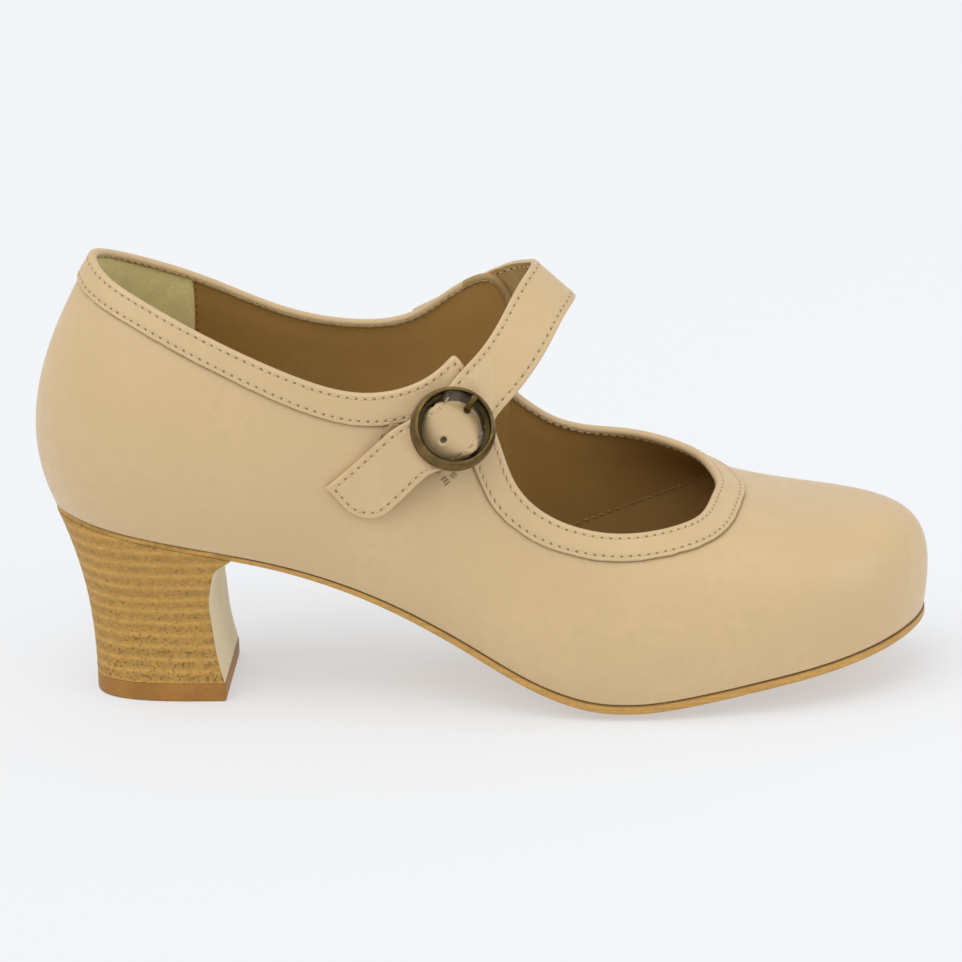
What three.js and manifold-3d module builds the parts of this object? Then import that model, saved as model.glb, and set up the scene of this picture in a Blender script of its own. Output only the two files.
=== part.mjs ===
// A low-cut leather shoe with a block heel and an instep strap, right foot.
// Millimetres, +Z up, toe towards +X, outer (buckle) side towards -Y, floor at z = 0.
// The origin lies on the floor, on the worn face of the heel's top piece.
import * as THREE from 'three';
import { mergeVertices } from 'three/addons/utils/BufferGeometryUtils.js';
import Module from 'manifold-3d';

const wasm = await Module();
wasm.setup();

// Driving sizes of the last and the sole
const SOLE_LENGTH = 240;
const BALL_WIDTH = 79;
const HEEL_HEIGHT = 51.3;
const TOE_SPRING = 13.6;
const SOLE_CAMBER = 2;
const SOLE_THICK = 2.4;
const SEAT_THICK = 1.6;
const SOLE_PROUD = 0.4;
const SEAT_INSET = 0.3;

// Driving sizes of the upper
const COLLAR_RISE = 67;
const WALL = 1.7;
const BAND_WIDTH = 8;
const BAND_THICK = 0.8;

// Insole
const INSOLE_THICK = 2.4;

// Heel
const TOP_PIECE_LENGTH = 37.4;
const TOP_PIECE_WIDTH = 41;
const TOP_PIECE_THICK = 5.3;
const TOP_PIECE_BEHIND = 21.1;
const HEEL_OVERHANG = 9.5;
const BREAST_HOLLOW = 3.2;

// Strap
const STRAP_WIDTH = 15.8;
const STRAP_THICK = 1.6;
const STRAP_CORNER = 9;

// Ring buckle on its keeper
const RING_BASE = 23;
const RING_FACE = 20.6;
const RING_BORE = 17.2;
const RING_DEPTH = 4.4;
const BAR_DIAMETER = 1.6;
const BAR_RAISE = 0.3;
const PRONG_DIAMETER = 1.3;
const PRONG_EYE_THICK = 0.9;
const PRONG_EYE_WIDTH = 2;
const KEEPER_THICK = 0.5;
const KEEPER_WIDTH = 18.8;
const KEEPER_NECK = 11;
const KEEPER_REACH = 14;
const KEEPER_FRONT = 6;

// Clearance between pieces that meet
const GAP = 0.3;

const HALF_BALL = BALL_WIDTH / 2;
const SOLE_BACK = -TOP_PIECE_BEHIND - HEEL_OVERHANG;
const UP = new THREE.Vector3(0, 0, 1);

// Height of the sole's underside along its middle, from the back to the tread,
// as a share of the heel height against a share of the sole's length
const SOLE_LIFT = [
  { along: 0, lift: 1 },
  { along: 0.082, lift: 0.947 },
  { along: 0.158, lift: 0.881 },
  { along: 0.244, lift: 0.786 },
  { along: 0.346, lift: 0.626 },
  { along: 0.418, lift: 0.481 },
  { along: 0.478, lift: 0.328 },
  { along: 0.534, lift: 0.158 },
  { along: 0.58, lift: 0.045 },
  { along: 0.62, lift: 0 },
];
const TREAD_FRONT = 0.69;
const TOE_EASE = 0.06;

// Where the edges' camber grows in: across in shares of half the ball width, and along in
// shares of the sole's length. Past the cap's back it runs round the toe.
const CAMBER_ACROSS = { from: 0.4, to: 1.02 };
const CAMBER_ALONG = { from: 0.42, to: 0.6 };
const TOE_CAP_BACK = 0.83;

// Where the sole grows from its seat's thickness to its full one, and where its edge grows
// from inside the feather line to proud of it, in shares of the sole's length
const SOLE_GROWS = { from: 0.2, to: 0.55 };
const EDGE_GROWS = { from: 0.22, to: 0.5 };

// The feather line, where upper and sole meet, seen from above. One turn starts at the
// back, reaches the toe at 1 along the outer side and comes back to 2 along the inner
// side. along is a share of the sole's length, out a share of half the ball width.
const FOOT = [
  { turn: 0, along: 0, out: 0 },
  { turn: 0.058, along: 0.026, out: -0.37 },
  { turn: 0.127, along: 0.089, out: -0.66 },
  { turn: 0.204, along: 0.178, out: -0.715 },
  { turn: 0.281, along: 0.265, out: -0.64 },
  { turn: 0.35, along: 0.346, out: -0.63 },
  { turn: 0.425, along: 0.43, out: -0.74 },
  { turn: 0.5, along: 0.515, out: -0.9 },
  { turn: 0.585, along: 0.61, out: -1 },
  { turn: 0.67, along: 0.7, out: -1.01 },
  { turn: 0.762, along: 0.805, out: -0.91 },
  { turn: 0.85, along: 0.9, out: -0.71 },
  { turn: 0.915, along: 0.958, out: -0.44 },
  { turn: 1, along: 1, out: 0.07 },
  { turn: 1.075, along: 0.98, out: 0.51 },
  { turn: 1.14, along: 0.925, out: 0.8 },
  { turn: 1.225, along: 0.83, out: 0.955 },
  { turn: 1.31, along: 0.735, out: 0.985 },
  { turn: 1.395, along: 0.64, out: 0.9 },
  { turn: 1.485, along: 0.54, out: 0.72 },
  { turn: 1.57, along: 0.45, out: 0.575 },
  { turn: 1.65, along: 0.36, out: 0.52 },
  { turn: 1.735, along: 0.265, out: 0.565 },
  { turn: 1.81, along: 0.178, out: 0.665 },
  { turn: 1.885, along: 0.089, out: 0.64 },
  { turn: 1.947, along: 0.026, out: 0.355 },
];

// The topline, the upper's free edge round collar, strap tabs and throat. rise is its
// height over the feather line at the same turn, as a share of the collar rise.
const TOPLINE = [
  { turn: 0, along: 0.054, out: 0, rise: 1.022 },
  { turn: 0.058, along: 0.069, out: -0.265, rise: 0.987 },
  { turn: 0.127, along: 0.12, out: -0.49, rise: 0.935 },
  { turn: 0.204, along: 0.19, out: -0.63, rise: 0.875 },
  { turn: 0.281, along: 0.285, out: -0.69, rise: 0.8 },
  { turn: 0.35, along: 0.37, out: -0.715, rise: 0.825 },
  { turn: 0.4, along: 0.43, out: -0.715, rise: 0.955 },
  { turn: 0.437, along: 0.463, out: -0.68, rise: 1.105 },
  { turn: 0.458, along: 0.48, out: -0.68, rise: 1.1 },
  { turn: 0.49, along: 0.51, out: -0.715, rise: 0.93 },
  { turn: 0.53, along: 0.53, out: -0.78, rise: 0.815 },
  { turn: 0.585, along: 0.573, out: -0.85, rise: 0.745 },
  { turn: 0.67, along: 0.652, out: -0.845, rise: 0.675 },
  { turn: 0.762, along: 0.718, out: -0.67, rise: 0.625 },
  { turn: 0.85, along: 0.745, out: -0.4, rise: 0.585 },
  { turn: 0.915, along: 0.754, out: -0.17, rise: 0.56 },
  { turn: 1, along: 0.76, out: 0.06, rise: 0.545 },
  { turn: 1.075, along: 0.754, out: 0.28, rise: 0.585 },
  { turn: 1.14, along: 0.739, out: 0.5, rise: 0.65 },
  { turn: 1.225, along: 0.698, out: 0.74, rise: 0.73 },
  { turn: 1.31, along: 0.65, out: 0.86, rise: 0.803 },
  { turn: 1.395, along: 0.59, out: 0.84, rise: 0.868 },
  { turn: 1.46, along: 0.543, out: 0.765, rise: 0.925 },
  { turn: 1.51, along: 0.518, out: 0.715, rise: 1.01 },
  { turn: 1.545, along: 0.53, out: 0.6, rise: 1.16 },
  { turn: 1.575, along: 0.51, out: 0.54, rise: 1.235 },
  { turn: 1.62, along: 0.445, out: 0.655, rise: 1.07 },
  { turn: 1.68, along: 0.375, out: 0.705, rise: 0.9 },
  { turn: 1.735, along: 0.29, out: 0.685, rise: 0.85 },
  { turn: 1.81, along: 0.19, out: 0.62, rise: 0.91 },
  { turn: 1.885, along: 0.115, out: 0.46, rise: 0.965 },
  { turn: 1.947, along: 0.069, out: 0.24, rise: 1.007 },
];

// How the upper's wall runs from the feather line up to the topline: it leaves at flare
// degrees out of plumb and arrives at fall degrees under level. foot and top say how far
// each direction holds, as shares of the straight distance between the two lines. band is
// the topline band's width there as a share of the named width.
const WALL_RUN = [
  { turn: 0, flare: 24, foot: 0.38, fall: 58, top: 0.34, band: 0.96 },
  { turn: 0.127, flare: 24, foot: 0.36, fall: 66, top: 0.33, band: 0.94 },
  { turn: 0.25, flare: 24, foot: 0.35, fall: 74, top: 0.33, band: 0.98 },
  { turn: 0.4, flare: 26, foot: 0.33, fall: 78, top: 0.3, band: 1.14 },
  { turn: 0.55, flare: 20, foot: 0.3, fall: 72, top: 0.3, band: 1 },
  { turn: 0.67, flare: 12, foot: 0.33, fall: 52, top: 0.36, band: 0.98 },
  { turn: 0.8, flare: 7, foot: 0.46, fall: 34, top: 0.44, band: 1.04 },
  { turn: 0.9, flare: 5, foot: 0.57, fall: 24, top: 0.55, band: 1.05 },
  { turn: 1, flare: 5, foot: 0.61, fall: 16.5, top: 0.6, band: 1.02 },
  { turn: 1.1, flare: 5, foot: 0.56, fall: 22, top: 0.55, band: 1.02 },
  { turn: 1.2, flare: 7, foot: 0.46, fall: 34, top: 0.44, band: 1 },
  { turn: 1.33, flare: 10, foot: 0.36, fall: 58, top: 0.34, band: 1 },
  { turn: 1.46, flare: 22, foot: 0.32, fall: 74, top: 0.3, band: 1 },
  { turn: 1.62, flare: 28, foot: 0.33, fall: 80, top: 0.3, band: 1.1 },
  { turn: 1.78, flare: 24, foot: 0.35, fall: 74, top: 0.33, band: 1 },
  { turn: 1.9, flare: 24, foot: 0.36, fall: 66, top: 0.33, band: 0.95 },
];

const clamp = (value, low, high) => Math.min(high, Math.max(low, value));
const mix = (a, b, share) => a + (b - a) * share;

function smooth(value, range) {
  const share = clamp((value - range.from) / (range.to - range.from), 0, 1);
  return share * share * (3 - 2 * share);
}

// Solves a small dense system by elimination, without pivoting, which the diagonally
// dominant systems of cubic splines don't need
function solve(matrix, right) {
  const size = right.length;
  for (let column = 0; column < size; column += 1) {
    for (let row = column + 1; row < size; row += 1) {
      const factor = matrix[row][column] / matrix[column][column];
      if (factor === 0) continue;
      for (let k = column; k < size; k += 1) matrix[row][k] -= factor * matrix[column][k];
      right[row] -= factor * right[column];
    }
  }
  const result = new Array(size).fill(0);
  for (let row = size - 1; row >= 0; row -= 1) {
    let sum = right[row];
    for (let k = row + 1; k < size; k += 1) sum -= matrix[row][k] * result[k];
    result[row] = sum / matrix[row][row];
  }
  return result;
}

// A cubic spline through one column of a table. With a period it closes on itself;
// without one it is free at its start and level at its end.
function spline(rows, at, key, period = 0) {
  const places = rows.map((row) => row[at]);
  const values = rows.map((row) => row[key]);
  const size = rows.length;
  if (period > 0) {
    places.push(places[0] + period);
    values.push(values[0]);
  }
  const spans = places.slice(1).map((place, i) => place - places[i]);
  const slopes = spans.map((span, i) => (values[i + 1] - values[i]) / span);
  const matrix = rows.map(() => new Array(size).fill(0));
  const right = new Array(size).fill(0);
  for (let i = 0; i < size; i += 1) {
    if (period > 0) {
      const before = (i + size - 1) % size;
      matrix[i][before] += spans[before];
      matrix[i][i] += 2 * (spans[before] + spans[i]);
      matrix[i][(i + 1) % size] += spans[i];
      right[i] = 6 * (slopes[i] - slopes[before]);
    } else if (i === 0) {
      matrix[i][i] = 1;
    } else if (i === size - 1) {
      matrix[i][i - 1] = spans[i - 1];
      matrix[i][i] = 2 * spans[i - 1];
      right[i] = -6 * slopes[i - 1];
    } else {
      matrix[i][i - 1] = spans[i - 1];
      matrix[i][i] = 2 * (spans[i - 1] + spans[i]);
      matrix[i][i + 1] = spans[i];
      right[i] = 6 * (slopes[i] - slopes[i - 1]);
    }
  }
  const bends = solve(matrix, right);
  bends.push(bends[0]);
  return (query) => {
    const turned = ((query - places[0]) % period + period) % period + places[0];
    const place = period > 0 ? turned : clamp(query, places[0], places[size - 1]);
    let k = places.findIndex((next) => next > place) - 1;
    if (k < 0) k = spans.length - 1;
    const a = (places[k + 1] - place) / spans[k];
    const b = (place - places[k]) / spans[k];
    const bend = (a ** 3 - a) * bends[k] + (b ** 3 - b) * bends[k + 1];
    return a * values[k] + b * values[k + 1] + bend * spans[k] ** 2 / 6;
  };
}

const TURNS = 2;
const loop = (rows, key) => spline(rows, 'turn', key, TURNS);
const footAlong = loop(FOOT, 'along');
const footOut = loop(FOOT, 'out');
const topAlong = loop(TOPLINE, 'along');
const topOut = loop(TOPLINE, 'out');
const topRise = loop(TOPLINE, 'rise');
const runFlare = loop(WALL_RUN, 'flare');
const runFoot = loop(WALL_RUN, 'foot');
const runFall = loop(WALL_RUN, 'fall');
const runTop = loop(WALL_RUN, 'top');
const runBand = loop(WALL_RUN, 'band');
const rearLift = spline(SOLE_LIFT, 'along', 'lift');

// Height of the sole's underside: down from the heel, flat at the tread, up to the toe.
// Its edges curl up round the tread and the toe by the camber.
function underside(x, y) {
  const along = (x - SOLE_BACK) / SOLE_LENGTH;
  const treadBack = SOLE_LIFT[SOLE_LIFT.length - 1].along;
  const ahead = Math.max(0, along - TREAD_FRONT) / (1 - TREAD_FRONT);
  const roll = (Math.hypot(ahead, TOE_EASE) - TOE_EASE) / (Math.hypot(1, TOE_EASE) - TOE_EASE);
  const middle = along < treadBack ? HEEL_HEIGHT * rearLift(along) : TOE_SPRING * roll;
  const cap = Math.max(0, along - TOE_CAP_BACK) / (1 - TOE_CAP_BACK);
  const edge = Math.hypot(y / HALF_BALL, cap);
  return middle + SOLE_CAMBER * smooth(edge, CAMBER_ACROSS) * smooth(along, CAMBER_ALONG);
}

function soleThickness(x) {
  return mix(SEAT_THICK, SOLE_THICK, smooth((x - SOLE_BACK) / SOLE_LENGTH, SOLE_GROWS));
}

const bed = (x, y) => underside(x, y) + soleThickness(x) + GAP;

function footPoint(turn) {
  const x = SOLE_BACK + SOLE_LENGTH * footAlong(turn);
  const y = HALF_BALL * footOut(turn);
  return new THREE.Vector3(x, y, bed(x, y));
}

function footNormal(turn) {
  const step = 0.002;
  const run = footPoint(turn + step).sub(footPoint(turn - step));
  return new THREE.Vector3(run.y, -run.x, 0).normalize();
}

function topPoint(turn) {
  const x = SOLE_BACK + SOLE_LENGTH * topAlong(turn);
  const y = HALF_BALL * topOut(turn);
  return new THREE.Vector3(x, y, footPoint(turn).z + COLLAR_RISE * topRise(turn));
}

// The upper's outer face as a Bezier curve at each turn, share 0 at the feather line and
// 1 at the topline
function wallCurve(turn) {
  const foot = footPoint(turn);
  const top = topPoint(turn);
  const out = footNormal(turn);
  const reach = foot.distanceTo(top);
  const flare = THREE.MathUtils.degToRad(runFlare(turn));
  const fall = THREE.MathUtils.degToRad(runFall(turn));
  const low = foot.clone();
  low.addScaledVector(out, Math.sin(flare) * runFoot(turn) * reach);
  low.addScaledVector(UP, Math.cos(flare) * runFoot(turn) * reach);
  const high = top.clone();
  high.addScaledVector(out, Math.cos(fall) * runTop(turn) * reach);
  high.addScaledVector(UP, -Math.sin(fall) * runTop(turn) * reach);
  return new THREE.CubicBezierCurve3(foot, low, high, top);
}

function wallPoint(turn, share) {
  return wallCurve(turn).getPoint(share);
}

function wallNormal(turn, share) {
  const step = 0.002;
  const round = wallPoint(turn + step, share).sub(wallPoint(turn - step, share));
  const climb = wallCurve(turn).getTangent(share);
  return round.cross(climb).normalize();
}

// Closed body from a grid of points: rings[i][j] runs round ring i, and the last ring
// joins the first, so the rings go out along one face and back along the other
function torusGeometry(rings) {
  const count = rings[0].length;
  const positions = rings.flat().flatMap((point) => [point.x, point.y, point.z]);
  const index = [];
  rings.forEach((ring, i) => {
    const next = ((i + 1) % rings.length) * count;
    const here = i * count;
    for (let j = 0; j < count; j += 1) {
      const k = (j + 1) % count;
      index.push(here + j, here + k, next + k, here + j, next + k, next + j);
    }
  });
  const geometry = new THREE.BufferGeometry();
  geometry.setAttribute('position', new THREE.Float32BufferAttribute(positions, 3));
  geometry.setIndex(index);
  return geometry;
}

// Turns at which the upper is cut, evenly spaced by the mean length of its two lines
function upperTurns(count) {
  const fine = 1600;
  const lengths = [0];
  for (let i = 0; i < fine; i += 1) {
    const from = (i / fine) * TURNS;
    const to = ((i + 1) / fine) * TURNS;
    const low = footPoint(from).distanceTo(footPoint(to));
    const high = topPoint(from).distanceTo(topPoint(to));
    lengths.push(lengths[i] + low + high);
  }
  const turns = [];
  let k = 0;
  for (let i = 0; i < count; i += 1) {
    const want = (i / count) * lengths[fine];
    while (lengths[k + 1] < want) k += 1;
    const share = (want - lengths[k]) / (lengths[k + 1] - lengths[k]);
    turns.push(((k + share) / fine) * TURNS);
  }
  return turns;
}

// Search by halving, and the lowest share of the wall's height that the band may reach
const HALVINGS = 20;
const BAND_LOWEST = 0.2;

// Share of the wall's height where the topline band begins, a band's width from the edge
function bandShare(turn, edge) {
  let low = BAND_LOWEST;
  let high = 1;
  for (let i = 0; i < HALVINGS; i += 1) {
    const middle = (low + high) / 2;
    const point = wallPoint(turn, middle);
    const away = Math.min(...edge.map((other) => other.distanceTo(point)));
    if (away > BAND_WIDTH * runBand(turn)) low = middle;
    else high = middle;
  }
  return (low + high) / 2;
}

const TURN_COUNT = 88;
const LOW_ROWS = 10;
const BAND_ROWS = 2;
const LINING_ROWS = 8;
const UPPER_TURNS = upperTurns(TURN_COUNT);
const EDGE_LINE = upperTurns(TURN_COUNT * 3).map(topPoint);
const BAND_SHARES = UPPER_TURNS.map((turn) => bandShare(turn, EDGE_LINE));

function upperRing(shareOf, offset) {
  return UPPER_TURNS.map((turn, i) => {
    const share = shareOf(i);
    return wallPoint(turn, share).addScaledVector(wallNormal(turn, share), offset);
  });
}

// Outer face without and with the band, from the feather line up
function outerRings() {
  const rings = [];
  for (let row = 0; row <= LOW_ROWS; row += 1) {
    rings.push(upperRing((i) => BAND_SHARES[i] * row / LOW_ROWS, 0));
  }
  for (let row = 0; row <= BAND_ROWS; row += 1) {
    rings.push(upperRing((i) => mix(BAND_SHARES[i], 1, row / BAND_ROWS), BAND_THICK));
  }
  return rings;
}

// Inner face from the topline down; its lowest ring stands level with the feather line
function innerRings() {
  const rings = [];
  for (let row = LINING_ROWS; row > 0; row -= 1) rings.push(upperRing(() => row / LINING_ROWS, -WALL));
  rings.push(UPPER_TURNS.map((turn) => {
    const flare = THREE.MathUtils.degToRad(runFlare(turn));
    return footPoint(turn).addScaledVector(footNormal(turn), -WALL / Math.cos(flare));
  }));
  return rings;
}

const outer = outerRings();

// Closed body between a lower and an upper sheet over a plan outline. The outline runs
// once round from the back; point i on the outer side pairs with its mirror across.
function plateGeometry(outline, low, high, across) {
  const half = outline.length / 2;
  const positions = [];
  const index = [];
  const rowOf = (height) => {
    const rows = [];
    for (let i = 0; i <= half; i += 1) {
      const near = outline[i];
      const far = outline[(outline.length - i) % outline.length];
      const count = i === 0 || i === half ? 0 : across;
      const row = [];
      for (let j = 0; j <= count; j += 1) {
        const x = count === 0 ? near.x : mix(near.x, far.x, j / across);
        const y = count === 0 ? near.y : mix(near.y, far.y, j / across);
        row.push(positions.length / 3);
        positions.push(x, y, height(x, y));
      }
      rows.push(row);
    }
    return rows;
  };
  const cover = (rows, up) => {
    const face = (a, b, c) => index.push(...(up ? [a, b, c] : [a, c, b]));
    for (let i = 0; i < half; i += 1) {
      for (let j = 0; j < across; j += 1) {
        const at = (row, k) => (row.length === 1 ? row[0] : row[k]);
        if (rows[i + 1].length > 1) face(at(rows[i], j), rows[i + 1][j], rows[i + 1][j + 1]);
        if (rows[i].length > 1) face(rows[i][j], at(rows[i + 1], j + 1), rows[i][j + 1]);
      }
    }
  };
  const rimOf = (rows) => {
    const near = rows.map((row) => row[0]);
    const far = rows.slice(1, -1).reverse().map((row) => row[row.length - 1]);
    return [...near, ...far];
  };
  const lowRows = rowOf(low);
  const highRows = rowOf(high);
  cover(lowRows, false);
  cover(highRows, true);
  const lowRim = rimOf(lowRows);
  const highRim = rimOf(highRows);
  lowRim.forEach((here, i) => {
    const k = (i + 1) % lowRim.length;
    index.push(here, lowRim[k], highRim[k], here, highRim[k], highRim[i]);
  });
  return bodyGeometry(positions, index);
}

function bodyGeometry(positions, index) {
  const geometry = new THREE.BufferGeometry();
  geometry.setAttribute('position', new THREE.Float32BufferAttribute(positions, 3));
  geometry.setIndex(index);
  return geometry;
}

// Closed body through sections of equal count, each running once round, with flat ends
// cut into strips between point i and its partner across
function loftGeometry(sections) {
  const count = sections[0].length;
  const positions = sections.flat().flatMap((point) => [point.x, point.y, point.z]);
  const index = [];
  for (let i = 0; i + 1 < sections.length; i += 1) {
    for (let j = 0; j < count; j += 1) {
      const k = (j + 1) % count;
      const here = i * count;
      const next = here + count;
      index.push(here + j, here + k, next + k, here + j, next + k, next + j);
    }
  }
  const cap = (start, flip) => {
    for (let i = 0; i < Math.floor(count / 2); i += 1) {
      const a = start + i;
      const b = start + i + 1;
      const c = start + count - 2 - i;
      const d = start + count - 1 - i;
      if (c > b) index.push(...(flip ? [a, c, b] : [a, b, c]));
      if (d > b) index.push(...(flip ? [a, d, c] : [a, c, d]));
    }
  };
  cap(0, true);
  cap((sections.length - 1) * count, false);
  return bodyGeometry(positions, index);
}

// Outsole: follows the feather line, proud of it at the forefoot and inside it at the seat
const SOLE_ACROSS = 8;

function soleEdge(turn) {
  const foot = footPoint(turn);
  const proud = mix(-SEAT_INSET, SOLE_PROUD, smooth(footAlong(turn), EDGE_GROWS));
  return foot.addScaledVector(footNormal(turn), proud);
}

function outsole() {
  const outline = UPPER_TURNS.map(soleEdge);
  const topFace = (x, y) => underside(x, y) + soleThickness(x);
  return plateGeometry(outline, underside, topFace, SOLE_ACROSS);
}

// Insole: lies on the outsole inside the upper's wall
function insole() {
  const outline = UPPER_TURNS.map((turn) => {
    const flare = THREE.MathUtils.degToRad(runFlare(turn));
    const inside = WALL / Math.cos(flare) + GAP;
    return footPoint(turn).addScaledVector(footNormal(turn), -inside);
  });
  return plateGeometry(outline, bed, (x, y) => bed(x, y) + INSOLE_THICK, SOLE_ACROSS);
}

// Heel: sections from the top piece up to the seat. hollow is how far the breast stands
// back from the top piece's front edge, as a share of the breast hollow.
const BREAST = [
  { climb: 0, hollow: 0.05 },
  { climb: 0.226, hollow: 0.62 },
  { climb: 0.474, hollow: 0.91 },
  { climb: 0.674, hollow: 1 },
  { climb: 0.834, hollow: 0.62 },
  { climb: 0.942, hollow: -0.16 },
  { climb: 1, hollow: -1.05 },
];
const breastHollow = spline(BREAST, 'climb', 'hollow');
const HEEL_SIDE_STEPS = 13;
const HEEL_LEVELS = 14;
const HEEL_SQUARENESS = 2.6;
const HEEL_SWEEP = 2.35;
const TOP_PIECE_FRONT = TOP_PIECE_LENGTH - TOP_PIECE_BEHIND;
const breastX = (climb) => TOP_PIECE_FRONT - BREAST_HOLLOW * breastHollow(climb);

// Plan of the heel at the floor, from its outer breast corner round the back
function heelFoot() {
  const outline = [];
  for (let i = -HEEL_SIDE_STEPS; i <= HEEL_SIDE_STEPS; i += 1) {
    const angle = (Math.PI / 2) * (1 - Math.abs(i) / HEEL_SIDE_STEPS);
    const back = Math.sin(angle) ** (2 / HEEL_SQUARENESS);
    const side = Math.sign(i) * Math.cos(angle) ** (2 / HEEL_SQUARENESS);
    outline.push({ back, y: side * TOP_PIECE_WIDTH / 2 });
  }
  return outline;
}

// Turn at which the sole's edge passes a place along the shoe, searched between two turns
function turnAt(x, from, to) {
  let low = from;
  let high = to;
  for (let i = 0; i < HALVINGS; i += 1) {
    const middle = (low + high) / 2;
    if ((soleEdge(middle).x < x) === (soleEdge(from).x < x)) low = middle;
    else high = middle;
  }
  return low;
}

function heelSections() {
  const front = breastX(1);
  const outer = turnAt(front, 0, TURNS / 4);
  const inner = turnAt(front, TURNS, TURNS * 3 / 4) - TURNS;
  const back = soleEdge(0).x;
  const foot = heelFoot();
  const seat = foot.map((unused, i) => {
    const side = i / HEEL_SIDE_STEPS - 1;
    const point = soleEdge(side < 0 ? -side * outer : side * inner + TURNS);
    return { back: (front - point.x) / (front - back), y: point.y };
  });
  const sections = [];
  for (let level = 0; level <= HEEL_LEVELS; level += 1) {
    const climb = level / HEEL_LEVELS;
    const sweep = climb ** HEEL_SWEEP;
    const breast = breastX(climb);
    const length = breast - mix(-TOP_PIECE_BEHIND, back, sweep);
    sections.push(foot.map((low, i) => {
      const x = breast - length * mix(low.back, seat[i].back, sweep);
      const y = mix(low.y, seat[i].y, sweep);
      const seatX = front - (front - back) * seat[i].back;
      const top = underside(seatX, seat[i].y) - GAP;
      return new THREE.Vector3(x, y, mix(TOP_PIECE_THICK + GAP, top, climb));
    }).reverse());
  }
  return sections;
}

function topPiece() {
  const shape = new THREE.Shape();
  heelFoot().forEach((point, i) => {
    const x = TOP_PIECE_FRONT - TOP_PIECE_LENGTH * point.back;
    if (i === 0) shape.moveTo(x, point.y);
    else shape.lineTo(x, point.y);
  });
  return new THREE.ExtrudeGeometry(shape, { depth: TOP_PIECE_THICK, bevelEnabled: false });
}

// The strap's middle line from its tail on the outer side, up over the instep and down
// to its sewn end on the inner side. rise is the height over the sole's bed there as a
// share of the collar rise. The side columns give the direction across the strap from
// its rear edge to its front edge, and wide its width as a share of the strap's width.
const STRAP = [
  { step: 0, along: 0.343, out: -0.735, rise: 0.36, sideX: 0.59, sideY: 0, sideZ: -0.8, wide: 1 },
  { step: 14, along: 0.3875, out: -0.76, rise: 0.555, sideX: 0.61, sideY: -0.08, sideZ: -0.79, wide: 1 },
  { step: 27.5, along: 0.431, out: -0.76, rise: 0.742, sideX: 0.63, sideY: -0.14, sideZ: -0.77, wide: 0.98 },
  { step: 36, along: 0.462, out: -0.745, rise: 0.848, sideX: 0.68, sideY: -0.12, sideZ: -0.72, wide: 0.84 },
  { step: 44.6, along: 0.484, out: -0.71, rise: 1, sideX: 0.74, sideY: -0.12, sideZ: -0.66, wide: 0.92 },
  { step: 52.6, along: 0.508, out: -0.62, rise: 1.135, sideX: 0.82, sideY: -0.12, sideZ: -0.55, wide: 0.93 },
  { step: 66, along: 0.538, out: -0.456, rise: 1.358, sideX: 0.83, sideY: -0.16, sideZ: -0.54, wide: 0.92 },
  { step: 79.7, along: 0.561, out: -0.185, rise: 1.506, sideX: 0.79, sideY: -0.12, sideZ: -0.6, wide: 0.92 },
  { step: 90, along: 0.574, out: 0.09, rise: 1.557, sideX: 0.74, sideY: 0, sideZ: -0.67, wide: 0.93 },
  { step: 100, along: 0.566, out: 0.34, rise: 1.53, sideX: 0.7, sideY: 0.1, sideZ: -0.71, wide: 0.95 },
  { step: 110, along: 0.538, out: 0.52, rise: 1.452, sideX: 0.6, sideY: 0.14, sideZ: -0.78, wide: 0.97 },
  { step: 120, along: 0.503, out: 0.605, rise: 1.296, sideX: 0.52, sideY: 0.14, sideZ: -0.84, wide: 1 },
  { step: 132, along: 0.463, out: 0.66, rise: 1.122, sideX: 0.48, sideY: 0.14, sideZ: -0.86, wide: 1 },
  { step: 143, along: 0.426, out: 0.7, rise: 0.98, sideX: 0.47, sideY: 0.14, sideZ: -0.87, wide: 1 },
];
const STRAP_LINE = Object.fromEntries(
  Object.keys(STRAP[0]).slice(1).map((key) => [key, spline(STRAP, 'step', key)]),
);
const STRAP_END = STRAP[STRAP.length - 1].step;
const BUCKLE_STEP = 36;

function strapMiddle(step) {
  const x = SOLE_BACK + SOLE_LENGTH * STRAP_LINE.along(step);
  const y = HALF_BALL * STRAP_LINE.out(step);
  return new THREE.Vector3(x, y, bed(x, 0) + COLLAR_RISE * STRAP_LINE.rise(step));
}

// Middle point, direction along, direction across and outward normal at a step
function strapFrame(step) {
  const nudge = 0.5;
  const from = clamp(step - nudge, 0, STRAP_END - 2 * nudge);
  const along = strapMiddle(from + 2 * nudge).sub(strapMiddle(from)).normalize();
  const across = new THREE.Vector3(STRAP_LINE.sideX(step), STRAP_LINE.sideY(step), STRAP_LINE.sideZ(step));
  across.addScaledVector(along, -across.dot(along)).normalize();
  const out = across.clone().cross(along);
  return { middle: strapMiddle(step), along, across, out };
}

// Sheet of the upper's outer face, which strap, keeper and buckle are seated on
function sheetMesh(rings, closed) {
  const count = rings[0].length;
  const index = [];
  for (let i = 0; i + 1 < rings.length; i += 1) {
    for (let j = 0; j < (closed ? count : count - 1); j += 1) {
      const k = (j + 1) % count;
      const here = i * count;
      index.push(here + j, here + k, here + count + k, here + j, here + count + k, here + count + j);
    }
  }
  const positions = rings.flat().flatMap((point) => [point.x, point.y, point.z]);
  const material = new THREE.MeshBasicMaterial({ side: THREE.DoubleSide });
  return new THREE.Mesh(bodyGeometry(positions, index), material);
}

// Height of the highest seat under a point and its eight neighbours, along a frame's
// outward direction, or -Infinity where there is none
const caster = new THREE.Raycaster();
const SEAT_REACH = 9;
const SEAT_DEPTH = 5.5;

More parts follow.
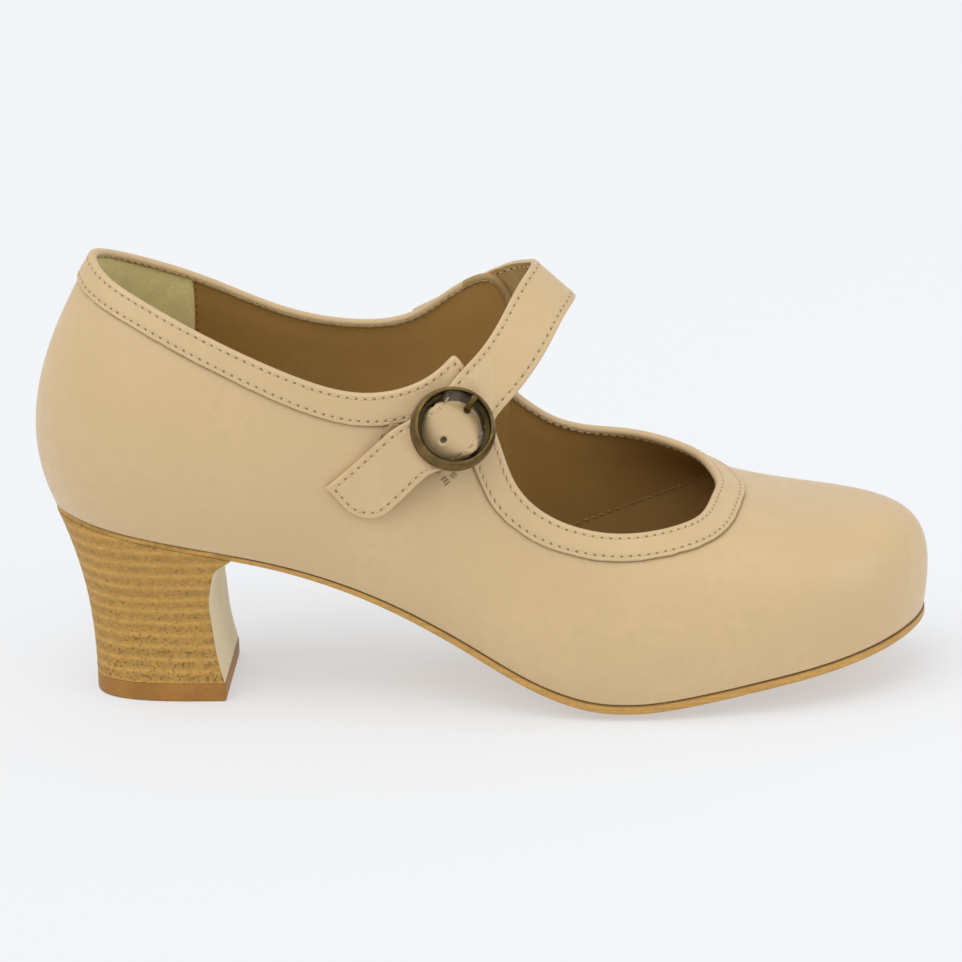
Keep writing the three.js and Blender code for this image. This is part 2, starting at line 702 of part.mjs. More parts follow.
function highestSeat(seats, point, frame, spread) {
  let height = -Infinity;
  for (let i = 0; i < 9; i += 1) {
    const start = point.clone().addScaledVector(frame.out, SEAT_REACH);
    start.addScaledVector(frame.along, (i % 3 - 1) * spread);
    start.addScaledVector(frame.across, (Math.floor(i / 3) - 1) * spread);
    caster.set(start, frame.out.clone().negate());
    caster.far = SEAT_REACH + SEAT_DEPTH;
    const hit = caster.intersectObjects(seats)[0];
    if (hit) height = Math.max(height, SEAT_REACH - hit.distance);
  }
  return height;
}

// Close neighbours keep a piece clear of small steps. Where a point has nothing under it,
// farther ones keep it clear of the edge that it hangs over.
const SEAT_NEAR = 1.3;
const SEAT_FAR = 2.8;

function seatHeight(seats, point, frame) {
  const height = highestSeat(seats, point, frame, SEAT_NEAR);
  return height > -Infinity ? height : highestSeat(seats, point, frame, SEAT_FAR);
}

const outerFace = sheetMesh(outer, true);

// The buckle's own frame: its point on the upper, along and across the strap, and out
function buckleFrame() {
  const frame = strapFrame(BUCKLE_STEP);
  const height = seatHeight([outerFace], frame.middle, frame);
  frame.middle.addScaledVector(frame.out, height);
  return frame;
}

const buckle = buckleFrame();

// A point in the buckle's frame
function atBuckle(along, across, out) {
  const point = buckle.middle.clone();
  point.addScaledVector(buckle.along, along);
  point.addScaledVector(buckle.across, across);
  return point.addScaledVector(buckle.out, out);
}

const fromBuckle = (point, axis) => point.clone().sub(buckle.middle).dot(buckle[axis]);

// Highest point of the upper under the ring, and from it the levels of ring and bar
const RIM_SAMPLES = 24;

function rimRelief() {
  let relief = 0;
  for (let i = 0; i < RIM_SAMPLES; i += 1) {
    const angle = (i / RIM_SAMPLES) * 2 * Math.PI;
    for (const radius of [RING_BORE / 2, RING_BASE / 2]) {
      const point = atBuckle(radius * Math.cos(angle), radius * Math.sin(angle), 0);
      relief = Math.max(relief, seatHeight([outerFace], point, buckle));
    }
  }
  return relief;
}

const RING_LEVEL = rimRelief() + KEEPER_THICK + STRAP_THICK + 4 * GAP;
const RING_TOP = RING_LEVEL + RING_DEPTH;
const BAR_LEVEL = RING_LEVEL + BAR_RAISE;
const BAR_RADIUS = BAR_DIAMETER / 2;
const EYE_RADIUS = BAR_RADIUS + GAP + PRONG_EYE_THICK;
const DOME_LEVEL = BAR_LEVEL + EYE_RADIUS + GAP;

// Closed body of even thickness over a grid of underside points
function quiltGeometry(grid) {
  const sections = grid.map((row) => {
    const upper = row.map(({ point, out, thick }) => point.clone().addScaledVector(out, thick));
    return [...row.map(({ point }) => point), ...upper.reverse()];
  });
  return loftGeometry(sections);
}

// Keeper: a leather strip that lies on the quarter, bridges the bar and is sewn down on
// both sides of it, wider where it shows beside the strap's tail
const KEEPER_STEPS = 18;
const KEEPER_ACROSS = 6;
const KEEPER_NARROWS = { from: -KEEPER_REACH * 0.8, to: -KEEPER_FRONT };
const BRIDGE_LEAVES = 0.8;

// Height of the keeper's underside where it runs round the bar, and straight down from it
function bridge(along) {
  const radius = BAR_RADIUS + GAP;
  const leaves = radius * BRIDGE_LEAVES;
  const away = Math.min(Math.abs(along), leaves);
  const level = Math.sqrt(radius * radius - away * away);
  return BAR_LEVEL + level - (Math.abs(along) - away) * leaves / level;
}

function keeperGrid() {
  const grid = [];
  for (let i = 0; i <= KEEPER_STEPS; i += 1) {
    const along = mix(KEEPER_FRONT, -KEEPER_REACH, i / KEEPER_STEPS);
    const half = mix(KEEPER_WIDTH, KEEPER_NECK, smooth(along, KEEPER_NARROWS)) / 2;
    const row = [];
    for (let j = 0; j <= KEEPER_ACROSS; j += 1) {
      const across = mix(-half, half, j / KEEPER_ACROSS);
      const flat = atBuckle(along, across, 0);
      const height = Math.max(seatHeight([outerFace], flat, buckle) + GAP, bridge(along));
      row.push({ point: atBuckle(along, across, height), out: buckle.out, thick: KEEPER_THICK });
    }
    grid.push(row);
  }
  return grid;
}

const keeper = keeperGrid();
const keeperFace = sheetMesh(
  keeper.map((row) => row.map(({ point, out, thick }) => point.clone().addScaledVector(out, thick))),
  false,
);

// Height of the strap's underside over the bar, as a dome inside the ring's bore that
// falls off as a power of the share of the way out to the bore
const DOME_POWER = 3;
const DOME_INSET = 1.1;

function dome(along, across) {
  const inside = RING_BORE / 2 - DOME_INSET;
  if (Math.abs(across) >= inside) return 0;
  const reach = Math.sqrt(inside * inside - across * across);
  const share = Math.abs(along) / reach;
  return share < 1 ? DOME_LEVEL * (1 - share ** DOME_POWER) : 0;
}

const STRAP_STEPS = 62;
const STRAP_ACROSS = 6;
const TAIL_FLAT = -0.15;

// Front limit of the strap's width, from -1 to 1. At the tail's end only the rear part is
// square, and from there the front corner is rounded off.
function frontLimit(step) {
  const share = clamp(step / STRAP_CORNER, 0, 1);
  return mix(TAIL_FLAT, 1, Math.sqrt(1 - (1 - share) ** 2));
}

function strapGrid() {
  const grid = [];
  for (let i = 0; i <= STRAP_STEPS; i += 1) {
    const step = STRAP_END * (1 - i / STRAP_STEPS);
    const frame = strapFrame(step);
    const half = STRAP_LINE.wide(step) * STRAP_WIDTH / 2;
    const row = [];
    for (let j = 0; j <= STRAP_ACROSS; j += 1) {
      const across = half * mix(-1, frontLimit(step), j / STRAP_ACROSS);
      const sheet = frame.middle.clone().addScaledVector(frame.across, across);
      const seated = seatHeight([outerFace, keeperFace], sheet, frame) + GAP;
      const lift = dome(fromBuckle(sheet, 'along'), fromBuckle(sheet, 'across'));
      const needed = (lift - fromBuckle(sheet, 'out')) / frame.out.dot(buckle.out);
      const arched = lift > 0 ? needed : -Infinity;
      const height = Math.max(0, seated, arched);
      row.push({ point: sheet.addScaledVector(frame.out, height), out: frame.out, thick: STRAP_THICK });
    }
    grid.push(row);
  }
  return grid;
}

// Solids for joining and cutting
function solid(geometry) {
  const bare = geometry.clone();
  bare.deleteAttribute('normal');
  bare.deleteAttribute('uv');
  const merged = mergeVertices(bare, 1e-4);
  const mesh = new wasm.Mesh({
    numProp: 3,
    vertProperties: new Float32Array(merged.attributes.position.array),
    triVerts: new Uint32Array(merged.index.array),
  });
  return new wasm.Manifold(mesh);
}

function fromSolid(body) {
  const mesh = body.getMesh();
  return bodyGeometry(Array.from(mesh.vertProperties), Array.from(mesh.triVerts));
}

// Places a geometry made about the origin, with Y out of the shoe, in the buckle's frame
function placeAtBuckle(geometry) {
  const basis = new THREE.Matrix4().makeBasis(buckle.along, buckle.out, buckle.across);
  basis.setPosition(buckle.middle);
  return geometry.applyMatrix4(basis);
}

function ringGeometry(profile, segments) {
  const points = [...profile, profile[0]].map(([radius, level]) => new THREE.Vector2(radius, level));
  return new THREE.LatheGeometry(points, segments);
}

// Ring: a cone's wall with softened edges, a straight bore and a bulge half way up
const RING_SEGMENTS = 32;
const BAR_SEGMENTS = 12;
const RING_SOFT = 0.5;
const RING_BULGE = { out: 0.4, level: 0.55 };

function buckleFrameBody() {
  const bore = RING_BORE / 2;
  const base = RING_BASE / 2;
  const face = RING_FACE / 2;
  const bulge = mix(base, face, RING_BULGE.out);
  const ring = ringGeometry([
    [bore, RING_LEVEL],
    [base - RING_SOFT, RING_LEVEL],
    [base, RING_LEVEL + RING_SOFT],
    [bulge, mix(RING_LEVEL, RING_TOP, RING_BULGE.level)],
    [face, RING_TOP - RING_SOFT],
    [face - RING_SOFT, RING_TOP],
    [bore, RING_TOP],
  ], RING_SEGMENTS);
  const barLength = (RING_BORE + RING_BASE) / 2;
  const bar = new THREE.CylinderGeometry(BAR_RADIUS, BAR_RADIUS, barLength, BAR_SEGMENTS);
  bar.rotateX(Math.PI / 2).translate(0, BAR_LEVEL, 0);
  return placeAtBuckle(fromSolid(solid(ring).add(solid(bar))));
}

// The prong's run from its eye to its tip. along is a share of the bore's radius from the
// bar, climb a share of the way up from the bar to where the tip rests on the rim.
const PRONG_RUN = [
  { along: 0.5, climb: 0 },
  { along: 0.7, climb: 0.4 },
  { along: 0.84, climb: 0.8 },
  { along: 0.94, climb: 1 },
  { along: 1.13, climb: 1 },
];
const PRONG_STEPS = 12;
const PRONG_SIDES = 8;
const EYE_SEGMENTS = 16;

function prongArm(radius) {
  const low = BAR_LEVEL + PRONG_DIAMETER / 2;
  const rest = RING_TOP + GAP + PRONG_DIAMETER / 2;
  const start = new THREE.Vector3(EYE_RADIUS - PRONG_EYE_THICK / 2, BAR_LEVEL, 0);
  const points = PRONG_RUN.map(({ along, climb }) => (
    new THREE.Vector3(along * RING_BORE / 2, mix(low, rest, climb), 0)
  ));
  const extrudePath = new THREE.CatmullRomCurve3([start, ...points]);
  const shape = new THREE.Shape().absarc(0, 0, radius, 0, 2 * Math.PI, false);
  const curveSegments = PRONG_SIDES;
  return new THREE.ExtrudeGeometry(shape, { steps: PRONG_STEPS, curveSegments, extrudePath });
}

function prongBody() {
  const hole = BAR_RADIUS + GAP;
  const half = PRONG_EYE_WIDTH / 2;
  const corners = [[hole, -half], [EYE_RADIUS, -half], [EYE_RADIUS, half], [hole, half]];
  const eye = ringGeometry(corners, EYE_SEGMENTS);
  eye.rotateX(Math.PI / 2).translate(0, BAR_LEVEL, 0);
  return placeAtBuckle(fromSolid(solid(eye).add(solid(prongArm(PRONG_DIAMETER / 2)))));
}

// The strap's hole is the prong's arm with its clearance, cut out of the strap
function strapBody() {
  const hole = placeAtBuckle(prongArm(PRONG_DIAMETER / 2 + GAP));
  return fromSolid(solid(quiltGeometry(strapGrid())).subtract(solid(hole)));
}

// The keeper is slotted for the prong's eye
function keeperBody() {
  const width = PRONG_EYE_WIDTH + 2 * GAP;
  const back = EYE_RADIUS + GAP;
  const length = KEEPER_FRONT + 2 * back;
  const slot = new THREE.BoxGeometry(length, 2 * DOME_LEVEL, width);
  slot.translate(length / 2 - back, BAR_LEVEL, 0);
  return fromSolid(solid(quiltGeometry(keeper)).subtract(solid(placeAtBuckle(slot))));
}

const group = new THREE.Group();

function add(name, geometry, color, roughness, metalness = 0) {
  const material = new THREE.MeshStandardMaterial({ color, roughness, metalness });
  const mesh = new THREE.Mesh(geometry, material);
  mesh.name = name;
  group.add(mesh);
}

add('upper', torusGeometry([...outer, ...innerRings()]), 0xd0b488, 0.55);
add('outsole', outsole(), 0xbf9556, 0.6);
add('insole', insole(), 0x7d5c34, 0.7);
add('heel_block', loftGeometry(heelSections()), 0xc59b5a, 0.65);
add('heel_top_piece', topPiece(), 0xb07a42, 0.55);
add('strap', strapBody(), 0xd2b68a, 0.55);
add('buckle_frame', buckleFrameBody(), 0x6f5f36, 0.4, 0.9);
add('buckle_prong', prongBody(), 0x8a7746, 0.4, 0.9);
add('buckle_keeper', keeperBody(), 0x9a7b4c, 0.8);

export default group;
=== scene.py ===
"""Low-cut leather shoe with a block heel and an instep strap: its dressed model and studio.

Sizes are in millimetres, +Z up, toe towards +X, outer (buckle) side towards -Y, floor at
z = 0, and each mesh is put into Blender in metres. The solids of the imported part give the
frame; every piece here follows the same lines and stands for one of them or sits on one.
"""

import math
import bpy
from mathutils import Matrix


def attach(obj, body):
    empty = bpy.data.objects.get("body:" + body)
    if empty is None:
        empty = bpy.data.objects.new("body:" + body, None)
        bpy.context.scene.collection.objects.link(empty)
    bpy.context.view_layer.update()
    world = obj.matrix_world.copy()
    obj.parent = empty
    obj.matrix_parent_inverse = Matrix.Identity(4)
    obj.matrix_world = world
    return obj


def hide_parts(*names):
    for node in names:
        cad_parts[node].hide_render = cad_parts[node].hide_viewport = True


bl_info = {
    "name": "Strapped Heeled Shoe",
    "version": (1, 0, 0),
    "blender": (4, 5, 0),
    "location": "3D View > Sidebar > Shoe",
    "description": "Builds the leather, heel stack, buckle and stitching of a heeled shoe",
    "category": "Add Mesh",
}

import bpy
import numpy as np
from mathutils import Matrix

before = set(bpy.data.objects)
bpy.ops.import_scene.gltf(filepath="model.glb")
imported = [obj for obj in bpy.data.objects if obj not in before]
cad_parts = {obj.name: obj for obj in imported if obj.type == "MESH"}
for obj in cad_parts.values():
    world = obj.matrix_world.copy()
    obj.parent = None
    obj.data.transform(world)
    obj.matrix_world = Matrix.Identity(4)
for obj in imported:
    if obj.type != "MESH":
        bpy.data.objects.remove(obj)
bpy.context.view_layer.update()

MM = 0.001

# Driving sizes of the last and the sole
SOLE_LENGTH = 240
BALL_WIDTH = 79
HEEL_HEIGHT = 51.3
TOE_SPRING = 13.6
SOLE_CAMBER = 2
SOLE_THICK = 2.4
SEAT_THICK = 1.6
SOLE_PROUD = 0.4
SEAT_INSET = 0.3

# Driving sizes of upper and insole
COLLAR_RISE = 67
WALL = 1.7
BAND_WIDTH = 8
INSOLE_THICK = 2.4

# Heel
TOP_PIECE_LENGTH = 37.4
TOP_PIECE_WIDTH = 41
TOP_PIECE_THICK = 5.3
TOP_PIECE_BEHIND = 21.1
HEEL_OVERHANG = 9.5
BREAST_HOLLOW = 3.2
HEEL_SQUARENESS = 3.1
HEEL_SWEEP = 2.35

# Strap
STRAP_WIDTH = 15.8
STRAP_THICK = 1.6
STRAP_CORNER = 9
TAIL_FLAT = -0.15

# Ring buckle on its keeper
RING_BASE = 23
RING_FACE = 20.6
RING_BORE = 19.3
RING_LIP = 16.9
RING_DEPTH = 4.9
BAR_DIAMETER = 1.6
BAR_RAISE = 0.3
PRONG_DIAMETER = 1.8
PRONG_EYE_THICK = 0.9
PRONG_EYE_WIDTH = 2
KEEPER_THICK = 0.5
KEEPER_WIDTH = 18.8
KEEPER_NECK = 11
KEEPER_REACH = 14
KEEPER_FRONT = 6

GAP = 0.3
HALF_BALL = BALL_WIDTH / 2
SOLE_BACK = -TOP_PIECE_BEHIND - HEEL_OVERHANG
TURNS = 2
UP = np.array([0.0, 0.0, 1.0])

# Height of the sole's underside along its middle, from the back to the tread: a share of
# the sole's length against a share of the heel height
SOLE_LIFT = np.array([
    [0, 1], [0.082, 0.947], [0.158, 0.881], [0.244, 0.78], [0.346, 0.614],
    [0.418, 0.47], [0.478, 0.322], [0.534, 0.16], [0.58, 0.056], [0.61, 0.016], [0.65, 0],
])
TREAD_FRONT = 0.655
TOE_EASE = 0.13
CAMBER_ACROSS = (0.4, 1.02)
CAMBER_ALONG = (0.42, 0.6)
TOE_CAP_BACK = 0.83
SOLE_GROWS = (0.2, 0.55)
EDGE_GROWS = (0.22, 0.5)

# The feather line, where upper and sole meet, seen from above: turn, along, out
FOOT = np.array([
    [0, 0, 0], [0.058, 0.026, -0.37], [0.127, 0.089, -0.66], [0.204, 0.178, -0.715],
    [0.281, 0.265, -0.64], [0.35, 0.346, -0.63], [0.425, 0.43, -0.74], [0.5, 0.515, -0.9],
    [0.585, 0.61, -1], [0.67, 0.7, -1.01], [0.762, 0.805, -0.91], [0.85, 0.9, -0.71],
    [0.915, 0.958, -0.44], [1, 1, 0.07], [1.075, 0.98, 0.51], [1.14, 0.925, 0.8],
    [1.225, 0.83, 0.955], [1.31, 0.735, 0.985], [1.395, 0.64, 0.9], [1.485, 0.54, 0.72],
    [1.57, 0.45, 0.575], [1.65, 0.36, 0.52], [1.735, 0.265, 0.565], [1.81, 0.178, 0.665],
    [1.885, 0.089, 0.64], [1.947, 0.026, 0.355],
])

# The topline, the upper's free edge: turn, along, out, rise over the feather line
TOPLINE = np.array([
    [0, 0.058, 0, 1.034], [0.058, 0.075, -0.265, 0.99], [0.127, 0.122, -0.49, 0.935],
    [0.204, 0.19, -0.63, 0.875], [0.281, 0.285, -0.69, 0.8], [0.35, 0.37, -0.715, 0.825],
    [0.4, 0.43, -0.715, 0.955], [0.43, 0.458, -0.685, 1.082], [0.4405, 0.467, -0.678, 1.122],
    [0.45, 0.476, -0.677, 1.105],
    [0.49, 0.51, -0.715, 0.93], [0.53, 0.53, -0.78, 0.815], [0.585, 0.573, -0.85, 0.745],
    [0.67, 0.652, -0.845, 0.675], [0.762, 0.718, -0.67, 0.625], [0.85, 0.745, -0.4, 0.585],
    [0.915, 0.754, -0.17, 0.56], [1, 0.76, 0.06, 0.545], [1.075, 0.754, 0.28, 0.585],
    [1.14, 0.739, 0.5, 0.65], [1.225, 0.698, 0.74, 0.742], [1.31, 0.65, 0.86, 0.82],
    [1.395, 0.59, 0.84, 0.892], [1.46, 0.543, 0.765, 0.947], [1.51, 0.522, 0.715, 1.02],
    [1.545, 0.53, 0.6, 1.19], [1.575, 0.508, 0.54, 1.285], [1.62, 0.445, 0.655, 1.105],
    [1.68, 0.375, 0.705, 0.906], [1.735, 0.29, 0.685, 0.864], [1.81, 0.19, 0.62, 0.926],
    [1.885, 0.115, 0.46, 0.985], [1.947, 0.072, 0.24, 1.023],
])

# How the upper's wall runs up: turn, flare, foot, fall, top, band
WALL_RUN = np.array([
    [0, 24, 0.38, 58, 0.34, 0.96], [0.127, 24, 0.36, 66, 0.33, 0.94],
    [0.25, 24, 0.35, 74, 0.33, 0.98], [0.4, 26, 0.33, 78, 0.3, 1.14],
    [0.55, 20, 0.3, 72, 0.3, 1], [0.67, 12, 0.33, 52, 0.36, 0.98],
    [0.8, 7, 0.46, 34, 0.44, 1.04], [0.9, 8, 0.6, 27, 0.53, 1.05],
    [1, 9, 0.655, 23, 0.56, 1.02], [1.1, 8, 0.59, 28, 0.53, 1.02],
    [1.2, 7, 0.465, 39, 0.44, 1], [1.33, 10, 0.36, 58, 0.34, 1],
    [1.46, 22, 0.32, 74, 0.3, 1], [1.62, 28, 0.33, 80, 0.3, 1.1],
    [1.78, 24, 0.35, 74, 0.33, 1], [1.9, 24, 0.36, 66, 0.33, 0.95],
])

# Heel breast: climb, how far it stands back as a share of the breast hollow
BREAST = np.array([
    [0, 0.05], [0.226, 0.62], [0.474, 0.91], [0.674, 1], [0.834, 0.62],
    [0.942, -0.16], [1, -1.05],
])

# The strap's middle line from its tail: step, along, out, rise, side x, y, z, wide
STRAP = np.array([
    [0, 0.343, -0.735, 0.36, 0.59, 0, -0.8, 1],
    [14, 0.3875, -0.76, 0.555, 0.61, -0.08, -0.79, 1],
    [27.5, 0.431, -0.76, 0.742, 0.63, -0.14, -0.77, 1.01],
    [36, 0.462, -0.745, 0.848, 0.68, -0.12, -0.72, 1.03],
    [44.6, 0.4833, -0.709, 1.001, 0.74, -0.12, -0.66, 0.96],
    [52.6, 0.5067, -0.619, 1.138, 0.8, -0.12, -0.58, 0.93],
    [66, 0.5393, -0.455, 1.348, 0.81, -0.14, -0.57, 0.93],
    [79.7, 0.5618, -0.184, 1.507, 0.78, -0.1, -0.61, 0.94],
    [90, 0.574, 0.09, 1.565, 0.74, 0, -0.67, 0.95],
    [100, 0.565, 0.34, 1.525, 0.7, 0.1, -0.71, 0.96],
    [110, 0.538, 0.52, 1.43, 0.6, 0.14, -0.78, 0.97],
    [120, 0.503, 0.605, 1.276, 0.52, 0.14, -0.84, 1],
    [132, 0.463, 0.66, 1.105, 0.48, 0.14, -0.86, 1],
    [143, 0.426, 0.7, 0.97, 0.47, 0.14, -0.87, 1],
])
STRAP_END = STRAP[-1, 0]
NEAR_SIDE = 70

# The buckle's place on the upper, its directions along and across the strap and out of
# the shoe, and the level of the ring's foot over that place
BUCKLE_PLACE = np.array([80.2593, -30.9486, 78.7505])
FLAT_ALONG = np.array([0.7736, 0.086, 0.6278])
FLAT_ACROSS = np.array([0.6335, -0.126, -0.7634])
FLAT_OUT = np.array([-0.0135, -0.9883, 0.152])
# How far the ring tips: its axis leans this far along the strap and up across it
TIP_ALONG = 0.34
TIP_UP = 0.15
BUCKLE_OUT = FLAT_OUT + TIP_ALONG * FLAT_ALONG - TIP_UP * FLAT_ACROSS
BUCKLE_OUT = BUCKLE_OUT / np.linalg.norm(BUCKLE_OUT)
BUCKLE_ACROSS = FLAT_ACROSS - BUCKLE_OUT * (FLAT_ACROSS @ BUCKLE_OUT)
BUCKLE_ACROSS = BUCKLE_ACROSS / np.linalg.norm(BUCKLE_ACROSS)
BUCKLE_ALONG = np.cross(BUCKLE_OUT, BUCKLE_ACROSS)
RING_LEVEL = 3.2
RING_TOP = RING_LEVEL + RING_DEPTH
BAR_LEVEL = RING_LEVEL + BAR_RAISE
BAR_RADIUS = BAR_DIAMETER / 2
EYE_RADIUS = BAR_RADIUS + GAP + PRONG_EYE_THICK
DOME_LEVEL = BAR_LEVEL + EYE_RADIUS + GAP
DOME_POWER = 3
DOME_INSET = 1.05
PRONG_RUN = np.array([[0.6, 0], [0.71, 0.4], [0.8, 0.8], [0.88, 1], [0.985, 1]])
PRONG_TURN = math.radians(13)
HOLE_BEHIND = 3.4
HOLE_BELOW = 0.3


def unit(vectors):
    """Each vector divided by its own length."""
    return vectors / np.linalg.norm(vectors, axis=-1, keepdims=True)


def mix(low, high, share):
    """low + (high - low) * share."""
    return low + (high - low) * share


def smooth(value, ends):
    """s * s * (3 - 2 s), with s the share of the way between the two ends, held to 0..1."""
    share = np.clip((np.asarray(value) - ends[0]) / (ends[1] - ends[0]), 0, 1)
    return share * share * (3 - 2 * share)


def cubic(places, values, period=0.0):
    """Cubic spline through values at places: between two places a cubic joins them with
    the same slope and bend on both sides. With a period it closes on itself; without one
    it is free at its start and level at its end."""
    size = len(places)
    if period:
        places = np.append(places, places[0] + period)
        values = np.append(values, values[0])
    spans = np.diff(places)
    slopes = np.diff(values) / spans
    matrix = np.zeros((size, size))
    right = np.zeros(size)
    here = np.arange(size)
    if period:
        before = (here - 1) % size
        matrix[here, before] += spans[before]
        matrix[here, here] += 2 * (spans[before] + spans)
        matrix[here, (here + 1) % size] += spans
        right[:] = 6 * (slopes - slopes[before])
    else:
        inner = here[1:-1]
        matrix[0, 0] = 1
        matrix[-1, -2:] = spans[-1], 2 * spans[-1]
        matrix[inner, inner - 1] = spans[:-1]
        matrix[inner, inner] = 2 * (spans[:-1] + spans[1:])
        matrix[inner, inner + 1] = spans[1:]
        right[inner] = 6 * np.diff(slopes)
        right[-1] = -6 * slopes[-1]
    bends = np.linalg.solve(matrix, right)
    bends = np.append(bends, bends[0])

    def at(query):
        place = np.asarray(query, float)
        if period:
            place = (place - places[0]) % period + places[0]
        else:
            place = np.clip(place, places[0], places[-1])
        k = np.clip(np.searchsorted(places, place, side="right") - 1, 0, len(spans) - 1)
        a = (places[k + 1] - place) / spans[k]
        b = (place - places[k]) / spans[k]
        bend = (a ** 3 - a) * bends[k] + (b ** 3 - b) * bends[k + 1]
        return a * values[k] + b * values[k + 1] + bend * spans[k] ** 2 / 6

    return at


def columns(table, period=0.0):
    """A spline for each column of a table after its first, which gives the places."""
    return [cubic(table[:, 0], table[:, k], period) for k in range(1, table.shape[1])]


foot_along, foot_out = columns(FOOT, TURNS)
top_along, top_out, top_rise = columns(TOPLINE, TURNS)
run_flare, run_foot, run_fall, run_top, run_band = columns(WALL_RUN, TURNS)
rear_lift, = columns(SOLE_LIFT)
breast_hollow, = columns(BREAST)
strap_along, strap_out, strap_rise, side_x, side_y, side_z, strap_wide = columns(STRAP)


def underside(x, y):
    """Height of the sole's underside: the rear spline times the heel height back of the
    tread, the toe spring times a rounded ramp ahead of it, plus the camber times two
    smooth steps, one across and one along."""
    along = (x - SOLE_BACK) / SOLE_LENGTH
    ahead = np.maximum(0, along - TREAD_FRONT) / (1 - TREAD_FRONT)
    roll = np.hypot(ahead, TOE_EASE) - TOE_EASE
    front = TOE_SPRING * roll / (math.hypot(1, TOE_EASE) - TOE_EASE)
    middle = np.where(along < SOLE_LIFT[-1, 0], HEEL_HEIGHT * rear_lift(along), front)
    cap = np.maximum(0, along - TOE_CAP_BACK) / (1 - TOE_CAP_BACK)
    edge = np.hypot(y / HALF_BALL, cap)
    return middle + SOLE_CAMBER * smooth(edge, CAMBER_ACROSS) * smooth(along, CAMBER_ALONG)


def sole_thickness(x):
    """Seat thickness growing smoothly to the full one along the shank."""
    return mix(SEAT_THICK, SOLE_THICK, smooth((x - SOLE_BACK) / SOLE_LENGTH, SOLE_GROWS))


def bed(x, y):
    """Height that the upper and the insole stand on."""
    return underside(x, y) + sole_thickness(x) + GAP


def foot_point(turn):
    """Point of the feather line at each turn."""
    x = SOLE_BACK + SOLE_LENGTH * foot_along(turn)
    y = HALF_BALL * foot_out(turn)
    return np.stack([x, y, bed(x, y)], axis=-1)


def foot_normal(turn):
    """The feather line's run, turned a quarter outwards in plan."""
    run = foot_point(turn + 0.002) - foot_point(turn - 0.002)
    return unit(np.stack([run[..., 1], -run[..., 0], 0 * run[..., 0]], axis=-1))


def top_point(turn):
    """Point of the topline at each turn."""
    x = SOLE_BACK + SOLE_LENGTH * top_along(turn)
    y = HALF_BALL * top_out(turn)
    z = foot_point(turn)[..., 2] + COLLAR_RISE * top_rise(turn)
    return np.stack([x, y, z], axis=-1)


def wall_point(turn, share):
    """Outer face of the upper: at each turn a cubic Bezier from the feather line to the
    topline, leaving at the flare angle and arriving at the fall angle."""
    foot = foot_point(turn)
    top = top_point(turn)
    out = foot_normal(turn)
    reach = np.linalg.norm(top - foot, axis=-1)
    flare = np.radians(run_flare(turn))
    fall = np.radians(run_fall(turn))
    leave = (run_foot(turn) * reach)[..., None]
    arrive = (run_top(turn) * reach)[..., None]
    low = foot + leave * (out * np.sin(flare)[..., None] + UP * np.cos(flare)[..., None])
    high = top + arrive * (out * np.cos(fall)[..., None] - UP * np.sin(fall)[..., None])
    s = np.asarray(share, float)[..., None]
    r = 1 - s
    return foot * r ** 3 + low * 3 * r * r * s + high * 3 * r * s * s + top * s ** 3


def wall_normal(turn, share):
    """Cross product of the run round and the run up the outer face, from small steps."""
    step = 0.002
    round_run = wall_point(turn + step, share) - wall_point(turn - step, share)
    low = np.clip(share - step, 0, 1)
    high = np.clip(share + step, 0, 1)
    climb = wall_point(turn, high) - wall_point(turn, low)
    return unit(np.cross(round_run, climb))


def even_turns(count):
    """Turns spaced evenly by the summed lengths of feather line and topline."""
    fine = np.linspace(0, TURNS, 1601)
    runs = sum(np.linalg.norm(np.diff(line(fine), axis=0), axis=1) for line in (foot_point, top_point))
    lengths = np.append(0, np.cumsum(runs))
    return np.interp(np.arange(count) / count * lengths[-1], lengths, fine)


TURN_COUNT = 640
UPPER_TURNS = even_turns(TURN_COUNT)
EDGE_LINE = top_point(even_turns(TURN_COUNT * 2))
SCAN_SHARES = np.linspace(0.15, 1, 52)


def edge_distance(points):
    """Distance from each point to the nearest point of the topline."""
    return np.sqrt(((points[:, None, :] - EDGE_LINE[None]) ** 2).sum(-1).min(1))


SCAN = np.stack([edge_distance(wall_point(UPPER_TURNS, np.full(TURN_COUNT, s))) for s in SCAN_SHARES], 1)


def share_at(away):
    """Share of the wall's height, at each upper turn, where the topline is away mm off:
    the highest crossing of the scanned distances, read off between two samples."""
    away = np.broadcast_to(np.asarray(away, float), (TURN_COUNT,))
    above = SCAN > away[:, None]
    last = SCAN.shape[1] - 1
    k = np.clip(last - np.argmax(above[:, ::-1], axis=1), 0, last - 1)
    rows = np.arange(TURN_COUNT)
    high, low = SCAN[rows, k], SCAN[rows, k + 1]
    part = np.clip((high - away) / np.maximum(high - low, 1e-9), 0, 1)
    return mix(SCAN_SHARES[k], SCAN_SHARES[k + 1], part)


BAND = BAND_WIDTH * run_band(UPPER_TURNS)


# Soft troughs (depth > 0) and ridges (depth < 0) of the leather, each about a line
# between two points: x, y, z, x, y, z, width, depth
CREASES = np.array([
    [118, -36, 40, 152, -38, 30, 9, 0.35],
    [132, -38, 22, 165, -34, 18, 11, -0.3],
    [96, -34, 52, 122, -38, 22, 8, 0.3],
    [60, -30, 66, 92, -34, 40, 10, 0.28],
    [20, -28, 66, 44, -26, 84, 9, 0.25],
    [-12, -26, 62, -6, -24, 96, 8, 0.25],
    [-24, 6, 70, -20, 14, 100, 9, 0.3],
    [30, 26, 84, 70, 28, 60, 9, 0.35],
    [90, 31, 60, 130, 38, 24, 10, 0.35],
    [120, 34, 44, 160, 32, 26, 9, -0.3],
    [150, -24, 34, 176, -14, 36, 10, 0.25],
    [154, 20, 36, 178, 22, 30, 10, 0.25],
])


